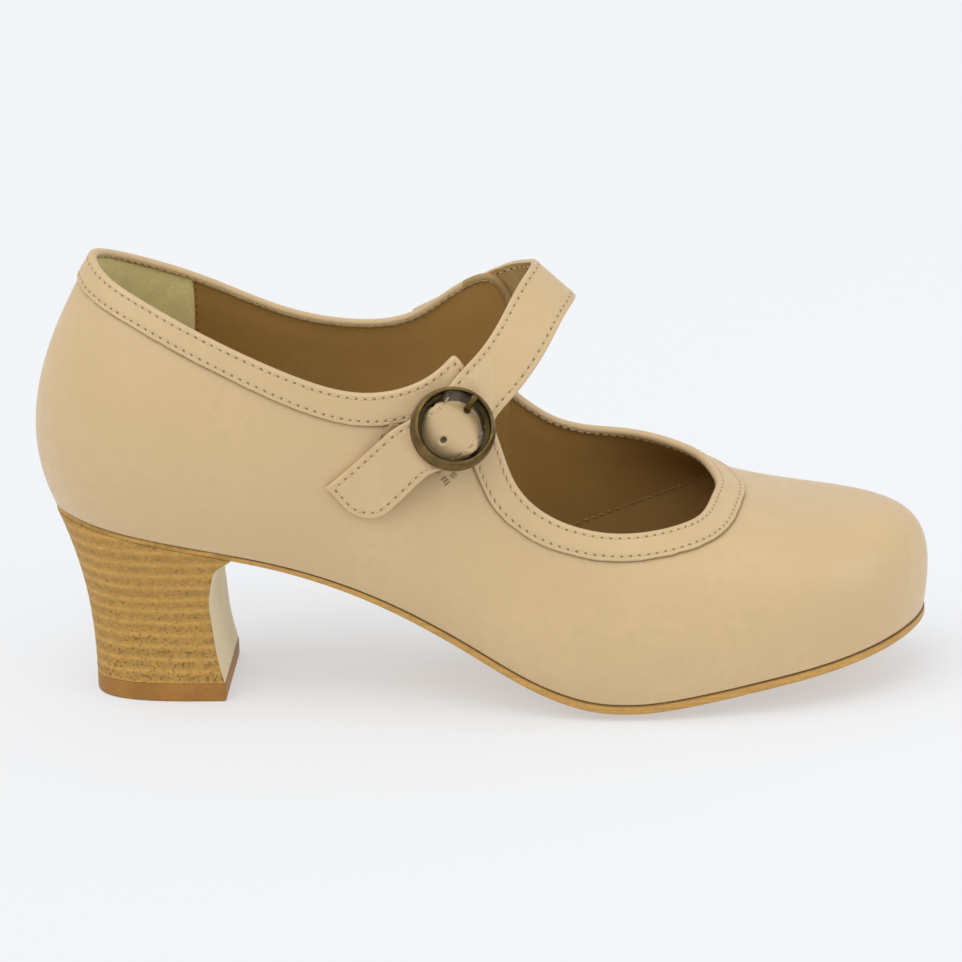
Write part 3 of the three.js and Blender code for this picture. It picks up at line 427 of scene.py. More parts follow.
def crease(points):
    """Sum over the creases of -depth * exp(-(distance to the crease's line / width)^2)."""
    total = np.zeros(points.shape[:-1])
    for row in CREASES:
        start, end, width, depth = row[:3], row[3:6], row[6], row[7]
        run = end - start
        share = np.clip((points - start) @ run / (run @ run), 0, 1)
        away = np.linalg.norm(points - start - share[..., None] * run, axis=-1)
        total -= depth * np.exp(-(away / width) ** 2)
    return total


def grid_faces(rows, count, wrap_rows=False, wrap_columns=False):
    """Quads over a grid of rows by count points, as point numbers."""
    i = np.arange(rows if wrap_rows else rows - 1)
    j = np.arange(count if wrap_columns else count - 1)
    i, j = np.meshgrid(i, j, indexing="ij")
    k, l = (i + 1) % rows, (j + 1) % count
    faces = np.stack([i * count + j, i * count + l, k * count + l, k * count + j], axis=-1)
    return faces.reshape(-1, 4)


def outward(points, faces):
    """The faces, turned over where the volume that they close, counted from the middle of
    the points, comes out negative."""
    a, b, c, d = (points[faces[:, n]] - points.mean(axis=0) for n in range(4))
    volume = np.einsum("ij,ij->", a, np.cross(b, c)) + np.einsum("ij,ij->", a, np.cross(c, d))
    return faces if volume > 0 else faces[:, ::-1]


def end_rows(faces, rows, count):
    """The first and the last row of a tube's points, each in the order that closes the
    tube with a face turned as the tube's own faces are."""
    low = np.arange(count)[::-1]
    high = np.arange(count) + (rows - 1) * count
    return (low, high) if faces[0, 0] == 0 else (low[::-1], high[::-1])


def end_fans(faces, rows, count):
    """Triangles from each end row of a tube to a middle point. The two middle points come
    right after the tube's own."""
    return np.concatenate([
        np.column_stack([row, np.roll(row, -1), np.full(count, rows * count + k)])
        for k, row in enumerate(end_rows(faces, rows, count))])


def round_angles(count):
    """Angles spaced evenly over a full turn."""
    return np.arange(count) / count * 2 * math.pi


def put_mesh(name, points, faces, materials, replaces=(), face_material=None, uv=None):
    """Makes a smooth-shaded object at the origin from points in mm and lists of faces,
    with one UV pair for each corner of each face, and rides it on the body."""
    mesh = bpy.data.meshes.new(name)
    mesh.from_pydata((points * MM).tolist(), [], faces)
    for material in materials:
        mesh.materials.append(material)
    if face_material is not None:
        mesh.polygons.foreach_set("material_index", np.asarray(face_material, np.int32))
    if uv is not None:
        mesh.uv_layers.new(name="stitch").data.foreach_set("uv", np.asarray(uv, np.float32).ravel())
    mesh.polygons.foreach_set("use_smooth", np.ones(len(faces), bool))
    mesh.update()
    piece = bpy.data.objects.new(name, mesh)
    bpy.context.scene.collection.objects.link(piece)
    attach(piece, "root")
    if replaces:
        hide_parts(*replaces)
    return piece


def corner_values(grid, rows, count, wrap_rows, wrap_columns):
    """Values of a grid, one row and one column longer than the points where it wraps, for
    the four corners of each quad of grid_faces."""
    height = rows if wrap_rows else rows - 1
    width = count if wrap_columns else count - 1
    a = grid[:height, :width]
    b = grid[:height, 1:width + 1]
    c = grid[1:height + 1, 1:width + 1]
    d = grid[1:height + 1, :width]
    return np.stack([a, b, c, d], axis=2).reshape(-1, grid.shape[-1])


def slab(front, back):
    """Closed body between a front grid and a back grid of equal size: points and faces.
    The back's rows run the other way, and the four rims join the two."""
    rows, count = front.shape[:2]
    points = np.concatenate([front.reshape(-1, 3), back.reshape(-1, 3)])
    face = grid_faces(rows, count)
    under = face[:, ::-1] + rows * count
    numbers = np.arange(rows * count).reshape(rows, count)
    rim = np.concatenate([numbers[0, :-1], numbers[:-1, -1], numbers[-1, :0:-1], numbers[:0:-1, 0]])
    ahead = np.roll(rim, -1)
    side = np.stack([ahead, rim, rim + rows * count, ahead + rows * count], axis=-1)
    faces = np.concatenate([face, under, side])
    return points, outward(points, faces)


def lengths_of(line):
    """Length run along a line up to each of its points."""
    return np.append(0, np.cumsum(np.linalg.norm(np.diff(line, axis=0), axis=1)))


def along_line(line, lengths, place):
    """Points of a line at places given as lengths run."""
    return np.stack([np.interp(place, lengths, line[:, k]) for k in range(3)], axis=-1)


# One stitch: place along its half length, radius and height over the leather as shares
STITCH_RUN = np.array([
    [-1, 0.45, -1.3], [-0.82, 0.85, -0.35], [-0.4, 1, 0.25], [0, 1, 0.35],
    [0.4, 1, 0.25], [0.82, 0.85, -0.35], [1, 0.45, -1.3],
])
STITCH_SIDES = 6
STITCH_SPREAD = 0.06
THREAD_SPREAD = 0.05


def thread_runs(line, normals, centres, half, radius, seed, first):
    """Points and faces, numbered from first, of short threads laid along a line. Each
    is a tube of six sides: its middle follows the line, raised along the normals by the
    heights of STITCH_RUN times the radius, and its radius follows the same table. Half
    lengths and places vary a little from stitch to stitch."""
    rng = np.random.default_rng(seed)
    lengths = lengths_of(line)
    count = len(centres)
    jitter = rng.normal(0, STITCH_SPREAD, (count, 1)) * half
    stretch = half * (1 + rng.normal(0, STITCH_SPREAD, (count, 1)))
    place = centres[:, None] + jitter + stretch * STITCH_RUN[None, :, 0]
    place = np.clip(place, 0, lengths[-1])
    middle = along_line(line, lengths, place)
    normal = unit(along_line(normals, lengths, place))
    step = 0.2
    ahead = along_line(line, lengths, np.clip(place + step, 0, lengths[-1]))
    behind = along_line(line, lengths, np.clip(place - step, 0, lengths[-1]))
    side = unit(np.cross(unit(ahead - behind), normal))
    size = radius * (1 + rng.normal(0, THREAD_SPREAD, (count, 1))) * STITCH_RUN[None, :, 1]
    middle = middle + normal * (radius * STITCH_RUN[None, :, 2, None])
    angle = round_angles(STITCH_SIDES)
    ring = (
        middle[:, :, None]
        + size[:, :, None, None] * normal[:, :, None] * np.sin(angle)[:, None]
        + size[:, :, None, None] * side[:, :, None] * np.cos(angle)[:, None]
    )
    rows = len(STITCH_RUN)
    points = ring.reshape(-1, 3)
    tube = grid_faces(rows, STITCH_SIDES, wrap_columns=True)
    tube = outward(points[:rows * STITCH_SIDES], tube)
    starts = first + np.arange(count) * rows * STITCH_SIDES
    quads = (tube[None] + starts[:, None, None]).reshape(-1, 4)
    ends = np.concatenate([row + starts[:, None] for row in end_rows(tube, rows, STITCH_SIDES)])
    return points, quads.tolist() + ends.tolist()


class Stitching:
    """Gathers runs of stitches into one mesh."""

    def __init__(self):
        self.points = []
        self.faces = []
        self.size = 0

    def row(self, line, normals, centres, half, radius, seed):
        points, faces = thread_runs(line, normals, centres, half, radius, seed, self.size)
        self.faces += faces
        self.points.append(points)
        self.size += len(points)

    def put(self, name, material):
        return put_mesh(name, np.concatenate(self.points), self.faces, [material])


# Upper: rows of its closed wall, from the feather line up the outside and down inside
PITCH = 2.4
ROW_TOP = 1.7
ROW_LOW = 1.3
FOLD = 2.1
FOLD_BACK = 1.2
LOWER_ROWS = 38
# Turns of the inner ear's front end, which shows the strap's lining
EAR = (1.485, 1.6)
HIDDEN_ROWS = 8
# The band's lower edge and its face by the topline: distance and height over the wall
BAND_STEP = (
    (0.35, -0.05), (0.12, -0.14), (0.0, -0.12), (-0.02, 0.4), (-0.1, 0.68), (-0.3, 0.84),
    (-0.65, 0.86), (-1.0, 0.8), (-1.3, 0.66), (-1.6, 0.79), (-2.1, 0.84), (-2.8, 0.84),
    (-3.5, 0.82),
)
BAND_TOP = ((3.6, 0.8), (2.9, 0.8), (2.4, 0.8), (2.0, 0.79), (1.7, 0.68), (1.4, 0.77))


def seat_cover(turn):
    """How far the leather reaches down past its foot, to close the gap over the sole at
    the seat, and none of it from the shank on."""
    point = foot_point(turn)
    full = np.full(len(point), GAP - 0.1)
    return full * (1 - smooth(foot_along(turn), (0.2, 0.36)))


def upper_rows():
    """Rows of the upper's section: the share of the wall's height at each turn, the
    offset along the normal, the stitch map's v, which is the distance to the topline near
    it and 100 less the distance to the band's lower edge near that, and at the foot how
    far the row drops."""
    rng = np.random.default_rng(11)
    ragged = np.convolve(rng.normal(0, 1, TURN_COUNT), np.ones(5) / 5, mode="same") * 0.22
    zero = np.zeros(TURN_COUNT)
    cover = seat_cover(UPPER_TURNS)
    rows = [
        (zero, -0.9, 130.0, cover - 0.05), (zero, -0.25, 130.0, cover),
        (zero, 0.0, 129.5, cover - 0.3), (zero, 0.03, 129.0, cover / 2),
    ]
    wave = np.convolve(rng.normal(0, 1, TURN_COUNT), np.ones(4) / 4, mode="same") * 0.11
    foot = share_at(BAND + 0.35 + wave)
    for k in range(LOWER_ROWS):
        rows.append((foot * (0.004 + (k / LOWER_ROWS) * 0.996), 0.0, 120.0))
    for back, offset in BAND_STEP:
        rows.append((share_at(BAND + back + wave * (back > -0.5)), offset, 100.0 + back))
    for away, offset in BAND_TOP:
        rows.append((share_at(away), offset, away))
    for angle in np.radians([5, 25, 45, 65, 90, 115, 135, 155, 175]):
        away = 1.1 * (1 - math.sin(angle))
        sign = 1 if angle < math.pi / 2 else -1
        rows.append((share_at(away), -0.45 + 1.25 * math.cos(angle), sign * away))
    for away, offset in ((1.5, -1.68), (1.85, -1.7)):
        rows.append((share_at(away + ragged), offset, -away))
    rows.append((share_at(FOLD + ragged), -1.55, -FOLD))
    rows.append((share_at(FOLD + 0.05 + ragged), -FOLD_BACK, -FOLD))
    for k in range(HIDDEN_ROWS):
        share = share_at(FOLD + 1) * (1 - k / HIDDEN_ROWS)
        rows.append((share, -FOLD_BACK, -50.0))
    return rows


def wall_grid(rows):
    """Grid of points over the upper's turns: outer face plus offset times its normal, with
    the creases added."""
    shares = np.stack([row[0] for row in rows])
    offsets = np.stack([np.broadcast_to(row[1], (TURN_COUNT,)) for row in rows])
    drops = np.stack([row[3] if len(row) > 3 else np.zeros(TURN_COUNT) for row in rows])
    turns = np.broadcast_to(UPPER_TURNS, shares.shape)
    points = wall_point(turns, shares)
    normals = wall_normal(turns, shares)
    points = points - UP * drops[..., None]
    offsets = offsets + crease(points) * smooth(shares, (0.0, 0.08))
    return points + normals * offsets[..., None]


def build_upper(materials):
    """The upper as one closed wall: see upper_rows and wall_grid."""
    rows = upper_rows()
    points = wall_grid(rows)
    count = len(rows)
    line_top = np.array([row[2] for row in rows])
    paths = stitch_paths()
    along = np.zeros((count + 1, TURN_COUNT + 1))
    for k, value in enumerate(line_top):
        path = paths["low"] if value > 50 else paths["top"]
        along[k] = path["phase"]
    along[count] = along[0]
    across = np.append(line_top, line_top[0])[:, None]
    uv = np.stack([along, np.broadcast_to(across, along.shape)], axis=-1)
    flat = points.reshape(-1, 3)
    faces = grid_faces(count, TURN_COUNT, True, True)
    corners = corner_values(uv, count, TURN_COUNT, True, True)
    # The inside rows at the ear's front end take the ear's finish: the strap's back colour darkened, as
    # painted shade.
    inside = (line_top < 0.4) & (line_top > -10)
    at_ear = (UPPER_TURNS > EAR[0]) & (UPPER_TURNS < EAR[1])
    kinds = (inside[:, None] & at_ear[None]).astype(int).ravel()
    put_mesh("upper", flat, faces.tolist(), [materials["leather"], materials["ear_back"]],
             ["upper"], kinds, corners)


def stitch_paths():
    """The band's two rows of stitches and the row inside the edge: points, normals, and
    the phase, which is the length run in stitches and comes to a whole number."""
    paths = {}
    turns = UPPER_TURNS
    rows = (("top", ROW_TOP, 0.68), ("low", BAND - ROW_LOW, 0.68), ("inside", ROW_TOP, -WALL))
    for name, away, offset in rows:
        share = share_at(away)
        points = wall_point(turns, share)
        normals = wall_normal(turns, share)
        points = points + normals * (offset + crease(points))[:, None]
        if name == "inside":
            normals = -normals
        points = np.concatenate([points, points[:1]])
        normals = np.concatenate([normals, normals[:1]])
        lengths = lengths_of(points)
        count = max(1, round(lengths[-1] / PITCH))
        paths[name] = {
            "points": points, "normals": normals, "lengths": lengths, "count": count,
            "phase": lengths / lengths[-1] * count,
        }
    return paths


# Plane of the seam between quarter lining and vamp lining: its normal and level, for the
# inner side, mirrored for the outer
SEAM_AXIS = np.array([0.3315, -0.2735, -0.9029])
SEAM_LEVEL = -1.93
LINING_ROWS = 34
# About how far the linings run down, for the rounding of their rims
LINING_HEIGHT = 60
SEAM_NEAR = 0.215
SEAM_FAR = 0.157


def build_lining_seam(settings, materials, face, normals, turns):
    """Stitches along the seam of the linings on both sides: at each turn the height at
    which the sheet passes through the seam's plane, read off between two rows."""
    work = Stitching()
    for seed, start, end in ((41, 1.06, 1.5), (42, 0.5, 0.94)):
        side = (turns > start) & (turns < end)
        sheet, normal = face[:, side], normals[:, side]
        level = np.abs(sheet) @ SEAM_AXIS - SEAM_LEVEL
        k = np.clip(np.argmax(level < 0, axis=0), 1, len(sheet) - 1)
        at = np.arange(sheet.shape[1])
        low, high = level[k - 1, at], level[k, at]
        share = np.clip(low / (low - high), 0, 1)[:, None]
        keep = (low > 0) & (high < 0)
        line = mix(sheet[k - 1, at], sheet[k, at], share)[keep]
        normal = -normal[k, at][keep]
        centres = np.arange(1, lengths_of(line)[-1] / PITCH - 1) * PITCH
        work.row(line + normal * 0.05, normal, centres, settings.stitch_length / MM / 2,
                 settings.thread_diameter / MM / 2, seed)
    work.put("lining_stitches", materials["dark_thread"])


def build_lining(name, material, start, end, front_level, back_level):
    """A sheet inside the upper between two turns: the outer face offset inwards, with
    rounded rims, from just under the fold of the topline down to the insole."""
    turns_all = np.concatenate([UPPER_TURNS - TURNS, UPPER_TURNS, UPPER_TURNS + TURNS])
    pick = np.where((turns_all >= start) & (turns_all <= end))[0]
    turns = turns_all[pick]
    column = pick % TURN_COUNT
    top = share_at(1.45)[column]
    low = 0.012
    climb = 1 - (1 - np.linspace(0, 1, LINING_ROWS)) ** 1.25
    climb = np.concatenate([[0, 0.004], climb[1:-1], [0.992, 1]])
    shares = mix(low, top[None], climb[:, None])
    run = lengths_of(wall_point(turns, np.full(len(turns), 0.6)))
    rim = np.minimum(run, run[-1] - run)
    height = np.minimum(climb, 1 - climb) * LINING_HEIGHT
    rounding = np.minimum(np.minimum(rim[None] / 0.6, height[:, None] / 0.5), 1)
    lift = np.sqrt(np.clip(1 - (1 - rounding) ** 2, 0, 1))
    depth = (1 - climb)[:, None] * LINING_HEIGHT
    settle = smooth(depth, (1.5, 8))
    front = -(front_level + 0.3 * settle * np.ones_like(lift))
    front = mix(-back_level - 0.12, front, lift)
    back = np.full_like(front, -back_level)
    points = wall_point(np.broadcast_to(turns, shares.shape), shares)
    normals = wall_normal(np.broadcast_to(turns, shares.shape), shares)
    face = points + normals * front[..., None]
    rear = points + normals * back[..., None]
    flat, faces = slab(face, rear)
    grid = np.stack([np.broadcast_to(value, shares.shape) for value in (depth / PITCH, rim)], axis=-1)
    table = np.tile(grid.reshape(-1, 2), (2, 1))
    put_mesh(name, flat, faces.tolist(), [material], uv=table[faces.ravel()])
    return face, normals, turns


def inset_ring(turns, proud):
    """Plan points of the feather line moved out by proud along its normals."""
    point = foot_point(turns)
    return (point + foot_normal(turns) * np.asarray(proud)[..., None])[:, :2]


PLATE_ACROSS = 26


def plate(name, turns, proud, rings, low, high, materials, low_material=0, rim_kinds=None):
    """Closed plate over an outline: rings round its rim given as (inset, level), with the
    level counted up from the lower sheet when positive and down from the upper one when
    negative, and each sheet filled by straight lines between the two sides."""
    count = len(turns)
    half = count // 2
    points, faces, kinds = [], [], []
    size = 0
    ring_numbers = []
    for inset, level in rings:
        xy = inset_ring(turns, proud - inset)
        base = low(xy[:, 0], xy[:, 1]) if level >= 0 else high(xy[:, 0], xy[:, 1])
        points.append(np.column_stack([xy, base + level]))
        ring_numbers.append(np.arange(count) + size)
        size += count
    marks = np.arange(len(rings)) / (len(rings) - 1)
    edge_uv = []
    for k, (below, above) in enumerate(zip(ring_numbers, ring_numbers[1:])):
        quads = np.stack([below, np.roll(below, -1), np.roll(above, -1), above], axis=-1)
        faces += quads.tolist()
        kinds += [0] * count if rim_kinds is None else rim_kinds.tolist()
        edge_uv.append(np.tile([[0, mark] for mark in marks[[k, k, k + 1, k + 1]]], (count, 1)))
    spread = (1 - np.cos(np.linspace(0, math.pi, PLATE_ACROSS + 1))) / 2
    spread = mix(np.linspace(0, 1, PLATE_ACROSS + 1), spread, 0.5)
    for end, sheet, turned, kind in ((0, low, -1, low_material), (-1, high, 1, 0)):
        ring = ring_numbers[end]
        xy = np.concatenate(points)[ring][:, :2]
        near = xy[1:half]
        far = xy[:half:-1]
        inner = near[:, None] + (far - near)[:, None] * spread[None, 1:-1, None]
        flat = inner.reshape(-1, 2)
        points.append(np.column_stack([flat, sheet(flat[:, 0], flat[:, 1]) + rings[end][1]]))
        numbers = np.empty((half + 1, PLATE_ACROSS + 1), int)
        numbers[0] = ring[0]
        numbers[half] = ring[half]
        numbers[1:half, 0] = ring[1:half]
        numbers[1:half, -1] = ring[:half:-1]
        numbers[1:half, 1:-1] = np.arange(len(flat)).reshape(half - 1, -1) + size
        size += len(flat)
        quads = np.stack(
            [numbers[:-1, :-1], numbers[1:, :-1], numbers[1:, 1:], numbers[:-1, 1:]], axis=-1)
        for group in (quads[0, :, :3], quads[1:-1].reshape(-1, 4), quads[-1][:, [0, 1, 3]]):
            faces += group[:, ::turned].tolist()
            kinds += [kind] * len(group)
    edge_uv = np.concatenate(edge_uv)
    corner_count = sum(len(face) for face in faces)
    uv = np.zeros((corner_count, 2))
    uv[:len(edge_uv)] = edge_uv
    return put_mesh(name, np.concatenate(points), faces, materials, [name], kinds, uv)


# Rings of the plates' rims: inset, and level over the lower sheet or, if negative, under
# the upper one
AT_TOP = -1e-6
SOLE_RINGS = (
    (0.55, 0.0), (0.3, 0.05), (0.1, 0.22), (0.0, 0.5), (0.0, 0.8), (0.0, -0.75),
    (0.0, -0.35), (0.08, -0.12), (0.3, AT_TOP),
)
INSOLE_RINGS = (
    (0.4, 0.0), (0.0, 0.3), (0.0, 1.2), (0.0, -0.7), (0.1, -0.35), (0.35, -0.1), (0.8, AT_TOP),
)


def edge_proud(turn):
    """How far the outsole's edge stands out past the feather line."""
    return mix(-SEAT_INSET, SOLE_PROUD, smooth(foot_along(turn), EDGE_GROWS))


def build_outsole(materials):
    """Outsole: a plate proud of the feather line at the forefoot and inside it at the
    seat, where its edge takes the heel stack's finish."""
    turns = UPPER_TURNS
    top = lambda x, y: underside(x, y) + sole_thickness(x)
    at_seat = foot_along(turns) < (breast_x(1) - SOLE_BACK) / SOLE_LENGTH
    finishes = [materials["sole_edge"], materials["sole_tread"], materials["stack"]]
    plate("outsole", turns, edge_proud(turns), SOLE_RINGS, underside, top, finishes,
          1, np.where(at_seat, 2, 0))


def build_insole(materials):
    """Insole: a plate inside the upper's wall."""
    turns = UPPER_TURNS
    proud = -(WALL / np.cos(np.radians(run_flare(turns))) + 0.06)
    top = lambda x, y: bed(x, y) + INSOLE_THICK
    plate("insole", turns, proud, INSOLE_RINGS, bed, top, [materials["insole"]])


# Heel
HEEL_SIDE = 40
HEEL_LAYERS = 13
HEEL_FILLET = 0.8
BREAST_COLUMNS = 12
TOP_PIECE_FRONT = TOP_PIECE_LENGTH - TOP_PIECE_BEHIND


def breast_x(climb):
    """Place of the breast along the shoe at a share of the heel's height."""
    return TOP_PIECE_FRONT - BREAST_HOLLOW * breast_hollow(climb)


def heel_plan():
    """Plan of the heel at the floor from its outer breast corner round the back: a
    superellipse, as shares back from the breast, and sideways places."""
    i = np.arange(-HEEL_SIDE, HEEL_SIDE + 1)
    angle = (math.pi / 2) * (1 - np.abs(i) / HEEL_SIDE)
    back = np.sin(angle) ** (2 / HEEL_SQUARENESS)
    side = np.sign(i) * np.cos(angle) ** (2 / HEEL_SQUARENESS)
    return back, side * TOP_PIECE_WIDTH / 2


def sole_edge(turn):
    """Point of the outsole's edge."""
    return foot_point(turn) + foot_normal(turn) * np.asarray(edge_proud(turn))[..., None]


def turn_at(x, turns):
    """Turn, among some in order, at which the sole's edge passes x."""
    places = sole_edge(turns)[:, 0]
    if places[0] > places[-1]:
        places, turns = places[::-1], turns[::-1]
    return float(np.interp(x, places, turns))


def with_fillets(ring):
    """A section's ring with its two breast corners rounded by quarter circles and the
    breast cut into even columns. The ring starts at the outer corner, runs round the back
    and ends at the inner corner."""
    theta = np.radians([0, 30, 60, 90])
    corners = []
    for corner, neighbour, other in ((ring[0], ring[1], ring[-1]), (ring[-1], ring[-2], ring[0])):
        side = unit(neighbour - corner)
        breast = unit(other - corner)
        arc = corner + HEEL_FILLET * (
            (1 - np.sin(theta))[:, None] * side + (1 - np.cos(theta))[:, None] * breast)
        corners.append(arc)
    first, last = corners[0][::-1], corners[1]
    share = (np.arange(1, BREAST_COLUMNS) / BREAST_COLUMNS)[:, None]
    breast = last[-1] + (first[0] - last[-1]) * share
    return np.concatenate([first, ring[1:-1], last, breast])


def ring_normals(ring):
    """Level directions out of a section's ring, square to its run."""
    run = np.roll(ring, -1, axis=0) - np.roll(ring, 1, axis=0)
    normal = unit(np.column_stack([-run[:, 1], run[:, 0], 0 * run[:, 0]]))
    points_in = ((ring - ring.mean(axis=0)) * normal).sum() < 0
    return -normal if points_in else normal


# A layer's groove: share of the layer's height, and how far the face stands out there
LAYER_GROOVE = (
    (0.0, -0.03), (0.05, -0.01), (0.16, 0.0), (0.5, 0.01), (0.84, 0.0), (0.95, -0.01),
)
HEEL_TOP_DROP = -0.15


def build_heel(materials):
    """Heel block: sections between the top piece's plan and the seat's, mixed by climb to
    the power of the sweep, with a shallow groove between its layers."""
    rng = np.random.default_rng(5)
    back_share, side_place = heel_plan()
    front = breast_x(1)
    outer = turn_at(front, np.linspace(0, 0.5, 400))
    inner = turn_at(front, np.linspace(TURNS, 1.5, 400)) - TURNS
    back = sole_edge(np.array([0.0]))[0, 0]
    side = np.arange(-HEEL_SIDE, HEEL_SIDE + 1) / HEEL_SIDE
    seat = sole_edge(np.where(side < 0, -side * outer, side * inner + TURNS))
    seat_back = (front - seat[:, 0]) / (front - back)
    layer_offset = rng.normal(0, 0.02, HEEL_LAYERS)
    rings, levels = [], []
    marks = [
        (layer + share, drop + layer_offset[layer])
        for layer in range(HEEL_LAYERS) for share, drop in LAYER_GROOVE]
    marks.append((float(HEEL_LAYERS), HEEL_TOP_DROP))
    for mark, drop in marks:
        climb = mark / HEEL_LAYERS
        sweep = climb ** HEEL_SWEEP
        breast = breast_x(climb)
        length = breast - mix(-TOP_PIECE_BEHIND, back, sweep)
        x = breast - length * mix(back_share, seat_back, sweep)
        y = mix(side_place, seat[:, 1], sweep)
        seat_x = front - (front - back) * seat_back
        top = underside(seat_x, seat[:, 1]) - 0.05
        ring = np.column_stack([x, y, mix(TOP_PIECE_THICK + 0.02, top, climb)])
        ring = with_fillets(ring)
        on_side = np.ones(len(ring))
        on_side[-BREAST_COLUMNS - 1:] = 0
        on_side[:2] = 0
        rings.append(ring + ring_normals(ring) * (drop * on_side)[:, None])
        levels.append(mark)
    grid = np.stack(rings)
    rows, count = grid.shape[:2]
    flat = grid.reshape(-1, 3)
    faces = grid_faces(rows, count, wrap_columns=True)
    points = np.concatenate([flat, [grid[0].mean(axis=0), grid[-1].mean(axis=0)]])
    faces = outward(points, faces)
    on_breast = np.zeros(count, int)
    on_breast[-BREAST_COLUMNS - 1:] = 1
    on_breast[0:1] = 1
    kinds = np.tile(on_breast, rows - 1)
    girth = lengths_of(np.concatenate([grid[0], grid[0, :1]]))
    uv_grid = np.zeros((rows, count + 1, 2))
    uv_grid[..., 0] = girth[None]
    uv_grid[..., 1] = np.array(levels)[:, None]
    corners = corner_values(uv_grid, rows, count, False, True).reshape(-1, 4, 2)
    if faces[0, 0] != 0:
        corners = corners[:, ::-1]
    fans = end_fans(faces, rows, count)
    kinds = np.concatenate([kinds, np.zeros(len(fans), int)])
    uv = np.concatenate([corners.reshape(-1, 2), np.zeros((len(fans) * 3, 2))])
    put_mesh("heel_block", points, faces.tolist() + fans.tolist(),
             [materials["stack"], materials["breast"]], ["heel_block"], kinds, uv)


# Rings of the top piece from the middle of its tread up: inset, level
TOP_PIECE_RINGS = (
    (9, 0), (2, 0), (0.6, 0.0), (0.22, 0.08), (0.05, 0.3), (0, 0.7), (0, 2.6), (0, 4.6),
    (0.05, 4.95), (0.2, 5.22), (0.5, TOP_PIECE_THICK), (2, TOP_PIECE_THICK), (9, TOP_PIECE_THICK),
)


def build_top_piece(materials):
    """Top piece: the heel's plan at the floor carried up, with softened edges."""
    back_share, side_place = heel_plan()
    back = TOP_PIECE_FRONT - TOP_PIECE_LENGTH * back_share
    plan = with_fillets(np.column_stack([back, side_place, 0 * side_place]))
    normal = ring_normals(plan)
    grid = np.stack([plan - normal * inset + UP * level for inset, level in TOP_PIECE_RINGS])
    rows, count = grid.shape[:2]
    middle = plan.mean(axis=0)
    points = np.concatenate([grid.reshape(-1, 3), [middle, middle + UP * TOP_PIECE_THICK]])
    faces = outward(points, grid_faces(rows, count, wrap_columns=True))
    put_mesh("heel_top_piece", points, faces.tolist() + end_fans(faces, rows, count).tolist(),
             [materials["top_piece"]], ["heel_top_piece"])


def strap_middle(step):
    """Point of the strap's middle line."""
    x = SOLE_BACK + SOLE_LENGTH * strap_along(step)
    y = HALF_BALL * strap_out(step)
    return np.stack([x, y, bed(x, 0 * x) + COLLAR_RISE * strap_rise(step)], axis=-1)


def strap_frame(step):
    """Middle point, and directions along, across and out of the strap at each step."""
    nudge = 0.5
    start = np.clip(step - nudge, 0, STRAP_END - 2 * nudge)
    along = unit(strap_middle(start + 2 * nudge) - strap_middle(start))
    across = np.stack([side_x(step), side_y(step), side_z(step)], axis=-1)
    across = unit(across - along * (across * along).sum(-1, keepdims=True))
    return strap_middle(step), along, across, np.cross(across, along)


class Seat:
    """Height of what lies under a ribbon, over its steps and its places across. Points
    of the surfaces beneath are sorted into cells, the highest wins, each cell then reaches
    flat for a short way and slopes off beyond, and the whole is softened."""

    CELL = 0.5
    FLAT = 3
    SLOPE = 0.35
    REACH = 36

    def __init__(self, steps, frames, cloud, half):
        middle, _, across, out = frames
        self.start, self.half = steps[0], half
        self.count = len(steps)
        self.width = int(2 * half / self.CELL) + 1
        low, high = middle.min(0) - half, middle.max(0) + half
        near = ((cloud > low) & (cloud < high)).all(1)
        cloud = cloud[near]
        gaps = ((cloud[:, None] - middle[None]) ** 2).sum(-1)
        k = gaps.argmin(1)
        away = cloud - middle[k]
        height = (away * out[k]).sum(1)
        place = (away * across[k]).sum(1)
        keep = (np.abs(place) < half) & (height > -10) & (height < 9)
        field = np.full((self.count, self.width), -50.0)
        j = np.round((place[keep] + half) / self.CELL).astype(int)
        np.maximum.at(field, (k[keep], j), height[keep])
        for turn in range(self.REACH):
            drop = 0.0 if turn < self.FLAT else self.SLOPE * self.CELL
            field = self.spread(field, drop)
        for turn in range(3):
            field = self.blur(field)
        self.field = field

    @staticmethod
    def spread(field, drop):
        padded = np.pad(field, 1, mode="edge")
        height, width = field.shape
        best = field
        for i, j in ((0, 1), (2, 1), (1, 0), (1, 2)):
            best = np.maximum(best, padded[i:i + height, j:j + width] - drop)
        return best

    @staticmethod
    def blur(field):
        padded = np.pad(field, 1, mode="edge")
        rows = (padded[:-2] + 2 * padded[1:-1] + padded[2:]) / 4
        return (rows[:, :-2] + 2 * rows[:, 1:-1] + rows[:, 2:]) / 4

    def height(self, step, across):
        u = np.clip((step - self.start) / self.CELL, 0, self.count - 1.001)
        v = np.clip((across + self.half) / self.CELL, 0, self.width - 1.001)
        i, j = u.astype(int), v.astype(int)
        a, b = u - i, v - j
        f = self.field
        low = f[i, j] * (1 - b) + f[i, j + 1] * b
        high = f[i + 1, j] * (1 - b) + f[i + 1, j + 1] * b
        return low * (1 - a) + high * a


CLEAR = 0.12


def outer_cloud():
    """Points of the upper's outer face, at the sheet and on the band."""
    rows = [row for row in upper_rows() if row[2] > 0]
    return wall_grid(rows).reshape(-1, 3)


def keeper_height(along):
    """Underside of the keeper where it runs round the bar, and straight down from it."""
    radius = BAR_RADIUS + GAP
    leaves = radius * 0.8
    away = np.minimum(np.abs(along), leaves)
    level = np.sqrt(radius * radius - away * away)
    return BAR_LEVEL + level - (np.abs(along) - away) * leaves / level


def at_buckle(along, across, out):
    """A point in the buckle's frame."""
    along, across, out = (np.asarray(v, float)[..., None] for v in (along, across, out))
    return BUCKLE_PLACE + along * BUCKLE_ALONG + across * BUCKLE_ACROSS + out * BUCKLE_OUT


